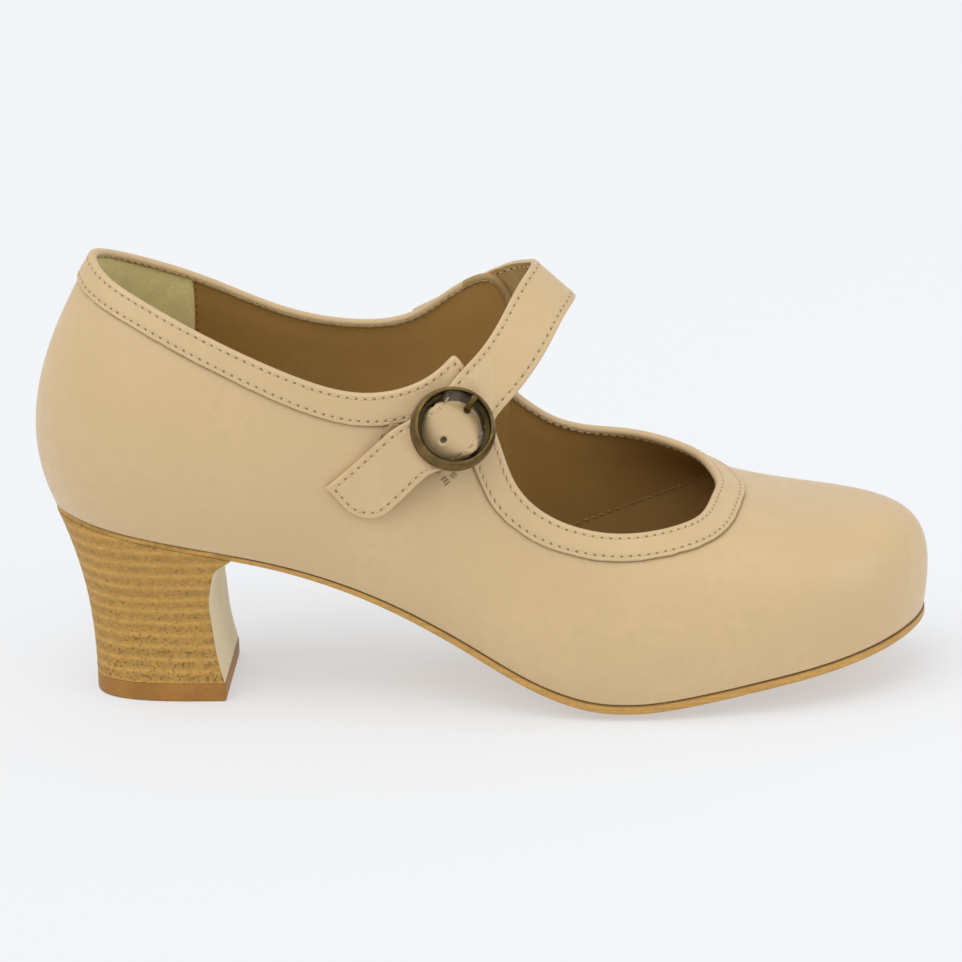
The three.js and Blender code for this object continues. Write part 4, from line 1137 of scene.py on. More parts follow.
KEEPER_SLANT = 0.27
KEEPER_SIDES = (-1.3, 0.74)


def keeper_sheets(cloud):
    """Front and back grids of the keeper, seated on the upper and bridging the bar."""
    steps = np.arange(-KEEPER_REACH - 1, KEEPER_FRONT + 1.01, Seat.CELL)
    middle = at_buckle(steps, 0 * steps, 0 * steps)
    axes = (BUCKLE_ALONG, BUCKLE_ACROSS, BUCKLE_OUT)
    frames = [middle] + [np.broadcast_to(axis, middle.shape) for axis in axes]
    seat = Seat(steps, frames, cloud, 14)
    side = np.linspace(*KEEPER_SIDES, 41)
    rear = KEEPER_SLANT * np.maximum(0, side + 1) * KEEPER_WIDTH / 2 - KEEPER_REACH
    along = mix(KEEPER_FRONT, rear[None], np.linspace(0, 1, 64)[:, None])
    width = mix(KEEPER_WIDTH, KEEPER_NECK, smooth(along, (-KEEPER_REACH * 0.8, -KEEPER_FRONT))) / 2
    across = side[None] * width
    height = np.maximum(seat.height(along, across) + CLEAR, keeper_height(along))
    edge = np.minimum(across - across[:, :1], across[:, -1:] - across)
    edge = np.minimum(edge, KEEPER_FRONT - along)
    round_off = 0.2 * (1 - np.sqrt(np.clip(1 - (1 - np.clip(edge / 0.4, 0, 1)) ** 2, 0, 1)))
    front = at_buckle(along, across, height + KEEPER_THICK - round_off)
    back = at_buckle(along, across, height)
    return front, back


def build_keeper(materials, cloud):
    """Keeper: the strip that the ring hangs on, sewn to the quarter."""
    front, back = keeper_sheets(cloud)
    points, faces = slab(front, back)
    put_mesh("buckle_keeper", points, faces.tolist(), [materials["keeper"]],
             ["buckle_keeper"])
    return front


def soft_most(a, b, width):
    """The larger of two values, with the corner between them rounded by a width."""
    return (a + b + np.sqrt((a - b) ** 2 + width * width)) / 2


TAIL_SLOPE = 0.95


def tail_lift(along):
    """Height that the ring's foot leaves to the strap's tail: level under the ring and
    falling off at a slope behind it, with nothing ahead of the bar."""
    under = RING_LEVEL - STRAP_THICK - 0.25
    behind = np.maximum(0, -along - RING_BASE / 2)
    level = under - TAIL_SLOPE * (np.hypot(behind, 2) - 2)
    return level - 30 * smooth(along, (-4, 1))


def dome(along, across):
    """Height of the strap's underside over the bar: the dome level times one less the
    cube of the share of the way out to the bore."""
    inside = RING_BORE / 2 - DOME_INSET
    reach = np.sqrt(np.maximum(inside * inside - across * across, 1e-9))
    share = np.abs(along) / reach
    open_here = (np.abs(across) < inside) & (share < 1)
    return np.where(open_here, DOME_LEVEL * (1 - np.minimum(share, 1) ** DOME_POWER), -50)


def front_limit(step):
    """Front edge of the strap as a share of its half width, rounded at the tail."""
    share = np.clip(step / STRAP_CORNER, 0, 1)
    return mix(TAIL_FLAT, 1, np.sqrt(1 - (1 - share) ** 2))


class Strap:
    """The strap's surface over steps and places across it."""

    def __init__(self, cloud):
        steps = np.arange(0, STRAP_END + 0.01, Seat.CELL)
        self.seat = Seat(steps, strap_frame(steps), cloud, 13)
        theta = np.radians(np.linspace(0, 90, 40))[1:]
        half = lambda step: strap_wide(step) * STRAP_WIDTH / 2
        rear = np.arange(STRAP_END, 0, -0.3)
        curve = STRAP_CORNER * (1 - np.cos(theta))
        front = np.arange(STRAP_CORNER + 0.3, STRAP_END, 0.3)
        end = np.linspace(-1, TAIL_FLAT, 24)
        self.outline = np.concatenate([
            np.column_stack([rear, -half(rear)]),
            np.column_stack([0 * end, end * half(0)]),
            np.column_stack([curve, half(curve) * front_limit(curve)]),
            np.column_stack([front, half(front)]),
        ])
        self.half = half

    def edge(self, step, across):
        """Distance in the flat from a place on the strap to its outline."""
        flat = np.column_stack([np.ravel(step), np.ravel(across)])
        best = np.concatenate([
            np.sqrt(((part[:, None] - self.outline[None]) ** 2).sum(-1).min(1))
            for part in np.array_split(flat, 12)])
        return np.minimum(best, STRAP_END - flat[:, 0]).reshape(np.shape(step))

    def point(self, step, across, level):
        """Middle line plus across plus the height of what lies beneath, then carried out
        along the ring's axis as far as the dome or the lifted tail asks."""
        middle, _, side, out = strap_frame(step)
        height = np.maximum(0, self.seat.height(step, across) + CLEAR)
        sheet = middle + side * across[..., None] + out * height[..., None]
        away = sheet - BUCKLE_PLACE
        run = away @ BUCKLE_ALONG
        lift = np.maximum(dome(run, away @ BUCKLE_ACROSS), tail_lift(run))
        needed = np.where(step < NEAR_SIDE, lift - away @ BUCKLE_OUT, -50)
        needed = np.where(needed > -20, soft_most(0 * needed, needed, 0.35), 0)
        return sheet + BUCKLE_OUT * needed[..., None] + out * np.asarray(level)[..., None]

    def stitch_line(self, inset):
        """Row of stitches an inset inside the outline: down the rear edge, round the tail
        and back along the front edge."""
        line = self.outline
        run = np.gradient(line, axis=0)
        normal = np.column_stack([-run[:, 1], run[:, 0]])
        normal /= np.linalg.norm(normal, axis=1, keepdims=True)
        moved = line - normal * inset
        keep = self.edge(moved[:, 0], moved[:, 1]) > inset - 0.06
        if keep.sum() < len(line) / 2:
            moved = line + normal * inset
            keep = self.edge(moved[:, 0], moved[:, 1]) > inset - 0.06
        return moved[keep]


def edge_level(edge, radius):
    """Drop from a flat face near its edge, along a quarter circle."""
    share = np.clip(edge / radius, 0, 1)
    return radius * (1 - np.sqrt(1 - (1 - share) ** 2))


STRAP_ROW = 1.6
STITCH_GROOVE = 0.13
# The slit that the prong comes out of, from the middle of the ring
SLIT_AHEAD = 6.6
SLIT_ABOVE = 1.5


def build_strap(materials, cloud):
    """Strap: a closed ribbon with rounded edges, grooved along its stitches, domed inside
    the ring, with a hole and the prong's slit, and two values at each point for painted
    shade: how dark the leather is painted in hole, slit and round the ring's foot, and how
    dark inside the ring."""
    strap = Strap(cloud)
    ends = np.array([0, 0.08, 0.2, 0.4, 0.7, 1.1, 1.45, 1.6, 1.75])
    steps = np.concatenate([ends, np.arange(2.1, STRAP_END - 2, 0.45), (STRAP_END - ends)[::-1]])
    edge = np.array([0, 0.012, 0.03, 0.06, 0.1, 0.145, 0.18, 0.2025, 0.225, 0.27])
    edge = np.append(edge, np.linspace(0.31, 1, 19))
    shares = np.concatenate([edge - 1, -(edge[:-1] - 1)[::-1]])
    half = strap.half(steps)
    limit = front_limit(steps)
    across = half[:, None] * mix(-1, limit[:, None], (shares[None] + 1) / 2)
    step = np.broadcast_to(steps[:, None], across.shape)
    away = strap.edge(step, across)
    middle, _, side, _ = strap_frame(step)
    sheet = middle + side * across[..., None] - BUCKLE_PLACE
    hole = np.hypot(sheet @ BUCKLE_ALONG + HOLE_BEHIND, sheet @ BUCKLE_ACROSS - HOLE_BELOW)
    prong = np.hypot(sheet @ BUCKLE_ALONG - SLIT_AHEAD, sheet @ BUCKLE_ACROSS + SLIT_ABOVE)
    top = STRAP_THICK - edge_level(away, 0.55)
    top = top - STITCH_GROOVE * np.exp(-((away - STRAP_ROW) / 0.3) ** 2)
    # Masks of the hole and the prong's slit: they dip the face, and the same masks carry painted shade in
    # the colour.
    punch = np.exp(-(hole / 0.8) ** 4)
    top = top - 0.9 * punch + 0.14 * np.exp(-((hole - 1.4) / 0.45) ** 2)
    slit = np.exp(-(prong / 0.95) ** 4)
    top = top - 0.6 * slit
    reach = np.hypot(sheet @ BUCKLE_ALONG, sheet @ BUCKLE_ACROSS)
    # Painted shade: mask of the leather darkened inside the ring, over the dome, where the ring's walls
    # shade it.
    painted_dome_shade = np.exp(-(reach / 9.2) ** 8)
    # Painted shade: a crescent under the ring's rim, ahead of the bar, where the ring's inner wall throws
    # shade.
    ring_foot_shade = smooth(reach, (7.9, 8.6)) * (1 - smooth(reach, (10.2, 10.8)))
    ring_foot_shade = ring_foot_shade * smooth(sheet @ BUCKLE_ALONG, (-3, 0))
    low = edge_level(away, 0.3)
    front = strap.point(step, across, top)
    back = strap.point(step, across, low)
    points, faces = slab(front, back)
    line = strap.stitch_line(STRAP_ROW)
    lengths = lengths_of(line)
    flat = np.column_stack([step.ravel(), across.ravel()])
    nearest = np.concatenate([
        ((part[:, None] - line[None]) ** 2).sum(-1).argmin(1) for part in np.array_split(flat, 24)])
    phase = lengths[nearest] / PITCH
    table = np.tile(np.column_stack([phase, away.ravel()]), (2, 1))
    count = (len(steps) - 1) * (len(shares) - 1)
    kinds = np.zeros(len(faces), int)
    kinds[count:2 * count] = 1
    piece = put_mesh("strap", points, faces.tolist(), [materials["strap"], materials["strap_back"]],
                     ["strap"], kinds, table[faces.ravel()])
    # The painted shade, kept as two point values: hole, slit and ring's foot together, and the dome inside
    # the ring.
    for name, value in (("painted_strap_shade", np.maximum(np.maximum(punch, slit), ring_foot_shade)), ("painted_dome_shade", painted_dome_shade)):
        layer = piece.data.attributes.new(name, "FLOAT", "POINT")
        layer.data.foreach_set("value", np.tile(value.ravel(), 2).astype(np.float32))
    return strap


def surface_line(strap, line, level):
    """Points and outward normals of a flat line laid on the strap."""
    step, across = line[:, 0], line[:, 1]
    levels = np.full(len(line), level)
    nudge = 0.15
    points = strap.point(step, across, levels)
    run = strap.point(step + nudge, across, levels) - strap.point(step - nudge, across, levels)
    side = strap.point(step, across + nudge, levels) - strap.point(step, across - nudge, levels)
    return points, unit(np.cross(side, run))


def build_strap_stitches(settings, materials, strap):
    """Stitches round the strap's top face, and on its back where it spans the instep."""
    line = strap.stitch_line(STRAP_ROW)
    flat_lengths = lengths_of(line)
    points, normals = surface_line(strap, line, STRAP_THICK - STITCH_GROOVE)
    lengths = lengths_of(points)
    marks = np.arange(1, int(flat_lengths[-1] / PITCH)) * PITCH
    centres = np.interp(marks, flat_lengths, lengths)
    half, radius = settings.stitch_length / MM / 2, settings.thread_diameter / MM / 2
    work = Stitching()
    work.row(points, normals, centres, half, radius, 21)
    back_points, back_normals = surface_line(strap, line, 0.02)
    spans = np.interp(marks, flat_lengths, line[:, 0])
    free = (spans > 56) & (spans < 126)
    back_lengths = lengths_of(back_points)
    centres = np.interp(marks, flat_lengths, back_lengths)[free]
    work.row(back_points, -back_normals, centres, half, radius, 22)
    work.put("strap_stitches", materials["thread"])


def revolve(profile, segments):
    """Points of a profile of (radius, level) pairs carried round the buckle's out axis."""
    angle = round_angles(segments)
    radius, level = profile[:, 0, None], profile[:, 1, None]
    return at_buckle(radius * np.cos(angle), radius * np.sin(angle), level + 0 * angle)


def rounded_profile():
    """The ring's section: bore, foot, bulging wall, rounded rim and the lip inside the
    bore, each corner a short arc."""
    bore, base, face = RING_BORE / 2, RING_BASE / 2, RING_FACE / 2
    bulge = mix(base, face, 0.4)
    corners = np.array([
        [bore, RING_LEVEL], [base, RING_LEVEL], [bulge, mix(RING_LEVEL, RING_TOP, 0.5)],
        [face + 0.1, RING_TOP], [bore, RING_TOP - 0.1], [bore, RING_LEVEL + 1.6],
        [RING_LIP / 2, RING_LEVEL + 1.5], [RING_LIP / 2, RING_LEVEL + 1.1],
    ])
    softness = np.array([0.35, 0.6, 1.6, 0.4, 0.35, 0.3, 0.15, 0.15])
    pieces = []
    for k in range(len(corners)):
        here = corners[k]
        before = unit(corners[k - 1] - here) * softness[k]
        after = unit(corners[(k + 1) % len(corners)] - here) * softness[k]
        t = np.linspace(0, 1, 7)[:, None]
        pieces.append((here + before) * (1 - t) ** 2 + here * 2 * t * (1 - t) + (here + after) * t ** 2)
    return np.concatenate(pieces)


RING_SEGMENTS = 128
BAR_SIDES = 20
ROD_SIDES = 16
EYE_SIDES = 32


def build_buckle(materials):
    """Ring and bar: a section carried round, and a rod across with rounded ends."""
    profile = rounded_profile()
    ring = revolve(profile, RING_SEGMENTS)
    rows, count = ring.shape[:2]
    ring_faces = outward(ring.reshape(-1, 3), grid_faces(rows, count, True, True))
    length = (RING_BORE + RING_BASE) / 4
    turn = round_angles(BAR_SIDES)
    places = np.array([-1, -1, 1, 1]) * length
    sizes = np.array([0.6, 1, 1, 0.6]) * BAR_RADIUS
    bar = at_buckle(
        sizes[:, None] * np.cos(turn), places[:, None] + 0 * turn,
        BAR_LEVEL + sizes[:, None] * np.sin(turn))
    flat = np.concatenate([ring.reshape(-1, 3), bar.reshape(-1, 3)])
    tube = outward(bar.reshape(-1, 3), grid_faces(len(places), BAR_SIDES, wrap_columns=True))
    start = rows * count
    ends = np.stack(end_rows(tube, len(places), BAR_SIDES))
    faces = ring_faces.tolist() + (tube + start).tolist() + (ends + start).tolist()
    kinds = np.zeros(len(faces), int)
    row = np.repeat(np.arange(rows), count)
    kinds[:len(row)] = (row >= 32) | (row <= 3)
    put_mesh("buckle_frame", flat, faces, [materials["brass"], materials["patina"]],
             ["buckle_frame"], kinds)


def build_prong(materials):
    """Prong: a rod carried along a spline from its eye to its rounded tip on the rim, and
    the eye, a short sleeve round the bar."""
    low = BAR_LEVEL + PRONG_DIAMETER / 2
    rest = RING_TOP + 0.05 + PRONG_DIAMETER / 2
    beyond = np.column_stack([PRONG_RUN[:, 0] * RING_BORE / 2, mix(low, rest, PRONG_RUN[:, 1])])
    marks = np.concatenate([[[EYE_RADIUS - PRONG_EYE_THICK / 2, BAR_LEVEL]], beyond])
    k = np.arange(len(marks), dtype=float)
    fine = np.linspace(0, len(marks) - 1, 40)
    line = np.column_stack([cubic(k, marks[:, 0])(fine), cubic(k, marks[:, 1])(fine)])
    run = np.gradient(line, axis=0)
    run /= np.linalg.norm(run, axis=1, keepdims=True)
    left = lengths_of(line)[-1] - lengths_of(line)
    size = PRONG_DIAMETER / 2 * np.sqrt(np.clip(1 - (1 - np.clip(left / 0.6, 0.03, 1)) ** 2, 0, 1))
    angle = round_angles(ROD_SIDES)
    across = size[:, None] * np.cos(angle)
    lift = size[:, None] * np.sin(angle)
    reach = line[:, 0, None] - run[:, 1, None] * lift
    swing = math.cos(PRONG_TURN), math.sin(PRONG_TURN)
    rod = at_buckle(
        reach * swing[0] + across * swing[1], across * swing[0] - reach * swing[1],
        line[:, 1, None] + run[:, 0, None] * lift)
    rows, count = rod.shape[:2]
    rod_flat = rod.reshape(-1, 3)
    tube = outward(rod_flat, grid_faces(rows, count, wrap_columns=True))
    ends = np.stack(end_rows(tube, rows, count))
    turn = round_angles(EYE_SIDES)
    hole = BAR_RADIUS + 0.05
    half = PRONG_EYE_WIDTH / 2
    section = np.array([[hole, -half], [EYE_RADIUS - 0.2, -half], [EYE_RADIUS, 0.2 - half],
                        [EYE_RADIUS, half - 0.2], [EYE_RADIUS - 0.2, half], [hole, half]])
    eye = at_buckle(section[:, 0, None] * np.cos(turn), section[:, 1, None] + 0 * turn,
                    BAR_LEVEL + section[:, 0, None] * np.sin(turn))
    eye_flat = eye.reshape(-1, 3)
    eye_faces = outward(eye_flat, grid_faces(len(section), EYE_SIDES, True, True)) + len(rod_flat)
    faces = tube.tolist() + ends.tolist() + eye_faces.tolist()
    put_mesh("buckle_prong", np.concatenate([rod_flat, eye_flat]), faces,
             [materials["brass"]], ["buckle_prong"])


# Bar tacks at the keeper's ends: middle, direction, half length, step to the next dash,
# count, and level over the quarter
TACKS = (
    ((61.6, -31, 77.4), (0.45, 0, 0.9), 1.1, (0.95, 0, -0.45), 3, 0.75),
    ((78.1, -33, 66.6), (0.8, 0, 0.6), 1.1, (0.45, 0, -0.7), 3, 0.1),
    ((80.3, -33, 66.9), (0.75, 0, -0.65), 0.9, (0.6, 0, 0.7), 2, 0.1),
)


def build_tacks(settings, materials, cloud):
    """Short threads at the keeper's sewn ends, each laid on the nearest leather."""
    radius = settings.thread_diameter / MM / 2
    near_side = cloud[cloud[:, 1] < 0]
    work = Stitching()
    for seed, (middle, run, half, step, count, rise) in enumerate(TACKS):
        run = unit(np.array(run, float))
        for dash in range(count):
            centre = np.array(middle, float) + np.array(step) * dash
            line = centre + run * np.linspace(-half, half, 9)[:, None]
            plan = ((near_side[None] - line[:, None])[..., [0, 2]] ** 2).sum(-1)
            level = near_side[np.argsort(plan, axis=1)[:, :6], 1].mean(axis=1)
            line[:, 1] = np.linspace(level[0], level[-1], len(line)) - rise
            normals = np.broadcast_to(unit(np.array([0.0, -1.0, 0.12])), line.shape)
            reach = lengths_of(line)[-1] / 2
            work.row(line, normals, np.array([reach]), reach * 0.92, radius, 60 + seed * 5 + dash)
    work.put("keeper_tacks", materials["dark_thread"])


def build_band_stitches(settings, materials):
    """The band's two rows of stitches outside and the row that shows inside its fold."""
    half = settings.stitch_length / MM / 2
    radius = settings.thread_diameter / MM / 2
    paths = stitch_paths()
    work = Stitching()
    inner = Stitching()
    for seed, name in enumerate(("top", "low", "inside")):
        path = paths[name]
        centres = (np.arange(path["count"] - 1) + 1) / path["count"] * path["lengths"][-1]
        rows = inner if name == "inside" else work
        rows.row(path["points"], path["normals"], centres, half, radius, 30 + seed)
    work.put("band_stitches", materials["thread"])
    inner.put("inner_stitches", materials["dark_thread"])


# The Mix node's colour sockets
COLOUR_A, COLOUR_B, COLOUR_RESULT = 6, 7, 2


class Finish:
    """A node material under construction."""

    def __init__(self, name):
        self.material = bpy.data.materials.new(name)
        self.material.use_nodes = True
        self.tree = self.material.node_tree
        self.tree.nodes.clear()
        self.surface = self.node("BsdfPrincipled")
        output = self.node("OutputMaterial")
        self.link(self.surface.outputs["BSDF"], output.inputs["Surface"])
        self.place = self.node("TexCoord").outputs["Object"]

    def node(self, kind, **settings):
        made = self.tree.nodes.new("ShaderNode" + kind)
        for key, value in settings.items():
            setattr(made, key, value)
        return made

    def link(self, source, target):
        self.tree.links.new(source, target)

    def feed(self, socket, value):
        if hasattr(value, "links"):
            self.link(value, socket)
        else:
            socket.default_value = value

    def set(self, **values):
        for key, value in values.items():
            self.feed(self.surface.inputs[key.replace("_", " ")], value)

    def noise(self, scale, detail=3.0, roughness=0.5, place=None, distortion=0.0):
        made = self.node("TexNoise")
        self.link(place or self.place, made.inputs["Vector"])
        made.inputs["Scale"].default_value = scale
        made.inputs["Detail"].default_value = detail
        made.inputs["Roughness"].default_value = roughness
        made.inputs["Distortion"].default_value = distortion
        return made.outputs["Fac"]

    def cells(self, scale, feature="F1", place=None):
        made = self.node("TexVoronoi", feature=feature)
        self.link(place or self.place, made.inputs["Vector"])
        made.inputs["Scale"].default_value = scale
        return made.outputs["Distance"]

    def math(self, operation, a, b=0.0, c=0.0):
        made = self.node("Math", operation=operation)
        for socket, value in zip(made.inputs, (a, b, c)):
            self.feed(socket, value)
        return made.outputs[0]

    def fit(self, value, low, high, to_low=0.0, to_high=1.0):
        made = self.node("MapRange", interpolation_type="SMOOTHSTEP")
        self.link(value, made.inputs["Value"])
        for key, number in (("From Min", low), ("From Max", high), ("To Min", to_low), ("To Max", to_high)):
            made.inputs[key].default_value = number
        return made.outputs["Result"]

    def blend(self, share, a, b, kind="MIX"):
        made = self.node("Mix", data_type="RGBA", blend_type=kind)
        self.feed(made.inputs["Factor"], share)
        self.feed(made.inputs[COLOUR_A], a)
        self.feed(made.inputs[COLOUR_B], b)
        return made.outputs[COLOUR_RESULT]

    def bump(self, height, distance, strength=1.0, normal=None):
        made = self.node("Bump")
        made.inputs["Strength"].default_value = strength
        made.inputs["Distance"].default_value = distance * MM
        self.link(height, made.inputs["Height"])
        if normal is not None:
            self.link(normal, made.inputs["Normal"])
        return made.outputs["Normal"]

    def stitch_map(self):
        made = self.node("UVMap", uv_map="stitch")
        split = self.node("SeparateXYZ")
        self.link(made.outputs["UV"], split.inputs["Vector"])
        return split.outputs["X"], split.outputs["Y"]

    def stretched(self, scale):
        made = self.node("Mapping")
        self.link(self.place, made.inputs["Vector"])
        made.inputs["Scale"].default_value = scale
        return made.outputs["Vector"]


def tint(colour, share):
    """A colour times a share, as an opaque one."""
    return tuple(min(1.0, max(0.0, c * share)) for c in colour[:3]) + (1.0,)


def needle_holes(finish, rows, length=0.45, width=0.3):
    """Mask of the needle holes on rows of the stitch map, half way between stitches: each
    is a small oval with a ragged rim."""
    run, away = finish.stitch_map()
    part = finish.math("FRACT", run)
    along = finish.math("MULTIPLY", finish.math("SUBTRACT", part, 0.5), PITCH / length)
    ragged = finish.math("MULTIPLY", finish.math("SUBTRACT", finish.noise(1500, 2), 0.5), 1.1)
    mask = None
    for row in rows:
        across = finish.math("MULTIPLY", finish.math("SUBTRACT", away, row), 1 / width)
        reach = finish.math("SQRT", finish.math("ADD", finish.math("MULTIPLY", along, along),
                                                finish.math("MULTIPLY", across, across)))
        hole = finish.fit(finish.math("ADD", reach, ragged), 0.55, 1.25, 1.0, 0.0)
        mask = hole if mask is None else finish.math("MAXIMUM", mask, hole)
    return mask


# Brown painted in as shade: in the needle holes, along the band's lower edge, in the gap at the upper's
# foot, and along the lining's edges over the heel lining.
PAINTED_SHADE_BROWN = (0.20, 0.11, 0.012, 1.0)
# Near black for the painted shade in the strap's hole, the prong's slit and under the ring's rim.
PAINTED_SHADE_DARK = (0.055, 0.025, 0.002, 1.0)


def leather(name, colour, rows, roughness=0.42, grain=1.0, broad_tone=0.97, gloss=0.7,
            edge=False, sheen=0.12, painted_strap_shade=False, below=None):
    """Smooth leather: broad and fine mottling, a fine cell grain and pores, with painted shade
    in the needle holes on its stitch rows and, where asked, a painted shadow line along the
    band's lower edge and painted shade in the gap at the foot."""
    f = Finish(name)
    broad = f.noise(30, 2, 0.5)
    fine = f.noise(300, 4, 0.6)
    base = f.blend(f.fit(broad, 0.3, 0.7), tint(colour, broad_tone), tint(colour, 1.02))
    base = f.blend(f.fit(fine, 0.35, 0.75), base, tint(colour, 0.96))
    if below is not None:
        size = f.node("VectorMath", operation="ABSOLUTE")
        f.link(f.place, size.inputs[0])
        reach = f.node("VectorMath", operation="DOT_PRODUCT")
        f.link(size.outputs["Vector"], reach.inputs[0])
        reach.inputs[1].default_value = tuple(SEAM_AXIS)
        under = f.fit(reach.outputs["Value"], (SEAM_LEVEL - 0.1) * MM, (SEAM_LEVEL + 0.15) * MM)
        base = f.blend(under, base, tint(below, 1.0))
        # Painted shade: darker along the lining's edges, where it lies over the heel lining.
        away = f.stitch_map()[1]
        base = f.blend(f.fit(away, 0.2, 0.6, 0.75, 0.0), base, PAINTED_SHADE_BROWN)
    pores = f.fit(f.cells(1100), 0.02, 0.14, 1.0, 0.0)
    base = f.blend(f.math("MULTIPLY", pores, 0.1), base, tint(colour, 0.5))
    normal = f.bump(f.noise(3600, 2, 0.5), 0.02, 0.4 * grain)
    normal = f.bump(f.cells(1700), 0.04, 0.3 * grain, normal)
    normal = f.bump(f.noise(70, 2, 0.5), 0.5, 0.08 * grain, normal)
    if rows:
        holes = needle_holes(f, rows)
        # Painted shade in the needle holes.
        base = f.blend(f.math("MULTIPLY", holes, 0.88), base, PAINTED_SHADE_BROWN)
        normal = f.bump(f.math("SUBTRACT", 1.0, holes), 0.2, 0.8, normal)
    if painted_strap_shade:
        # Painted shade on the strap: darker inside the ring over the dome, near black in the hole, the slit
        # and under the ring's rim.
        mark = f.node("Attribute", attribute_name="painted_dome_shade").outputs["Fac"]
        base = f.blend(f.fit(mark, 0.2, 0.9, 0.0, 0.6), base, tint(colour, 0.78))
        mark = f.node("Attribute", attribute_name="painted_strap_shade").outputs["Fac"]
        base = f.blend(f.fit(mark, 0.15, 0.6, 0.0, 0.95), base, PAINTED_SHADE_DARK)
    if edge:
        # Painted shadow: a dark line along the band's lower edge, where the band's step shades the wall
        # below.
        away = f.stitch_map()[1]
        rim = f.math("ABSOLUTE", f.math("SUBTRACT", away, 100.02))
        rim = f.fit(f.math("ADD", rim, f.math("MULTIPLY", f.noise(500, 2), 0.22)), 0.16, 0.36, 0.7, 0.0)
        base = f.blend(rim, base, PAINTED_SHADE_BROWN)
        # Painted shade in the gap between the upper's lowest rows and the sole.
        foot = f.fit(away, 128.6, 129.6, 0.0, 0.85)
        base = f.blend(foot, base, PAINTED_SHADE_BROWN)
    f.set(Base_Color=base, Normal=normal,
          Roughness=f.fit(fine, 0.2, 0.8, roughness - 0.05, roughness + 0.07))
    f.set(Specular_IOR_Level=gloss, Sheen_Weight=sheen, Sheen_Roughness=0.5)
    return f.material


def suede(name, colour):
    """Napped lining: short blotchy fibres, no gloss."""
    f = Finish(name)
    nap = f.noise(900, 5, 0.7)
    broad = f.noise(70, 3, 0.6, distortion=0.6)
    base = f.blend(f.fit(broad, 0.3, 0.7), tint(colour, 0.78), tint(colour, 1.1))
    base = f.blend(f.fit(nap, 0.35, 0.7), base, tint(colour, 0.8))
    f.set(Base_Color=base, Normal=f.bump(nap, 0.12, 0.6))
    f.set(Roughness=0.95, Specular_IOR_Level=0.15, Sheen_Weight=0.15)
    return f.material


def sole_edge_finish(name, colour):
    """Waxed leather edge: fine level streaks, and painted shade along its top where it meets the upper."""
    f = Finish(name)
    streaks = f.noise(60, 5, 0.65, f.stretched((1, 1, 26)))
    fine = f.noise(700, 3)
    base = f.blend(f.fit(streaks, 0.3, 0.7), tint(colour, 0.82), tint(colour, 1.08))
    base = f.blend(f.fit(fine, 0.4, 0.8), base, tint(colour, 0.8))
    # Painted shade along the edge's top, in the groove where it meets the upper.
    away = f.stitch_map()[1]
    base = f.blend(f.fit(away, 0.72, 0.9, 0.0, 0.8), base, tint(colour, 0.28))
    f.set(Base_Color=base, Normal=f.bump(streaks, 0.1, 0.4))
    f.set(Roughness=0.42, Specular_IOR_Level=0.3)
    return f.material


LAYER_PITCH = 3.6
LAYER_START = 5.3


def stack_finish(name, colour):
    """Stacked heel of cork-like layers: level bands of one pitch, each with its own tone,
    a lighter joint, crumbly grains, and dark pits that thicken towards the floor."""
    f = Finish(name)
    split = f.node("SeparateXYZ")
    f.link(f.place, split.inputs["Vector"])
    height = split.outputs["Z"]
    wobble = f.math("MULTIPLY", f.math("SUBTRACT", f.noise(60, 2), 0.5), 0.0012)
    level = f.math("MULTIPLY", f.math("ADD", height, wobble), 1 / (LAYER_PITCH * MM))
    level = f.math("SUBTRACT", level, LAYER_START / LAYER_PITCH)
    part = f.math("FRACT", f.math("ADD", level, 40.0))
    middle = f.math("ABSOLUTE", f.math("SUBTRACT", part, 0.5))
    joint = f.fit(middle, 0.3, 0.5)
    band = f.fit(middle, 0.1, 0.38, 1.0, 0.0)
    grains = f.noise(1100, 4, 0.75)
    lumps = f.cells(750)
    crumbs = f.noise(420, 3, 0.6, f.stretched((1, 1, 1.3)))
    tone = f.math("SINE", f.math("MULTIPLY", f.math("FLOOR", level), 2.399))
    base = f.blend(f.fit(tone, -1, 1), tint(colour, 0.93), tint(colour, 1.03))
    base = f.blend(f.fit(lumps, 0.1, 0.7, 0.0, 0.35), base, tint(colour, 1.22))
    base = f.blend(f.fit(grains, 0.35, 0.7, 0.0, 0.75), base, tint(colour, 0.68))
    base = f.blend(f.math("MULTIPLY", band, f.fit(crumbs, 0.35, 0.6, 0.1, 0.55)), base, tint(colour, 0.62))
    base = f.blend(f.math("MULTIPLY", joint, f.fit(crumbs, 0.35, 0.65, 0.65, 0.15)), base, tint(colour, 1.3))
    low = f.fit(height, 0.002, 0.04, 0.055, 0.0)
    drift = f.math("ADD", f.math("ADD", f.noise(1150, 3, 0.75), low), f.math("MULTIPLY", band, 0.045))
    pits = f.fit(drift, 0.65, 0.7)
    base = f.blend(f.math("MULTIPLY", pits, 0.65), base, (0.14, 0.075, 0.015, 1.0))
    normal = f.bump(f.math("SUBTRACT", 1.0, pits), 0.2, 0.7)
    normal = f.bump(grains, 0.14, 0.5, normal)
    normal = f.bump(f.math("SUBTRACT", 1.0, joint), 0.12, 0.5, normal)
    f.set(Base_Color=base, Normal=normal)
    f.set(Roughness=0.62, Specular_IOR_Level=0.25)
    return f.material


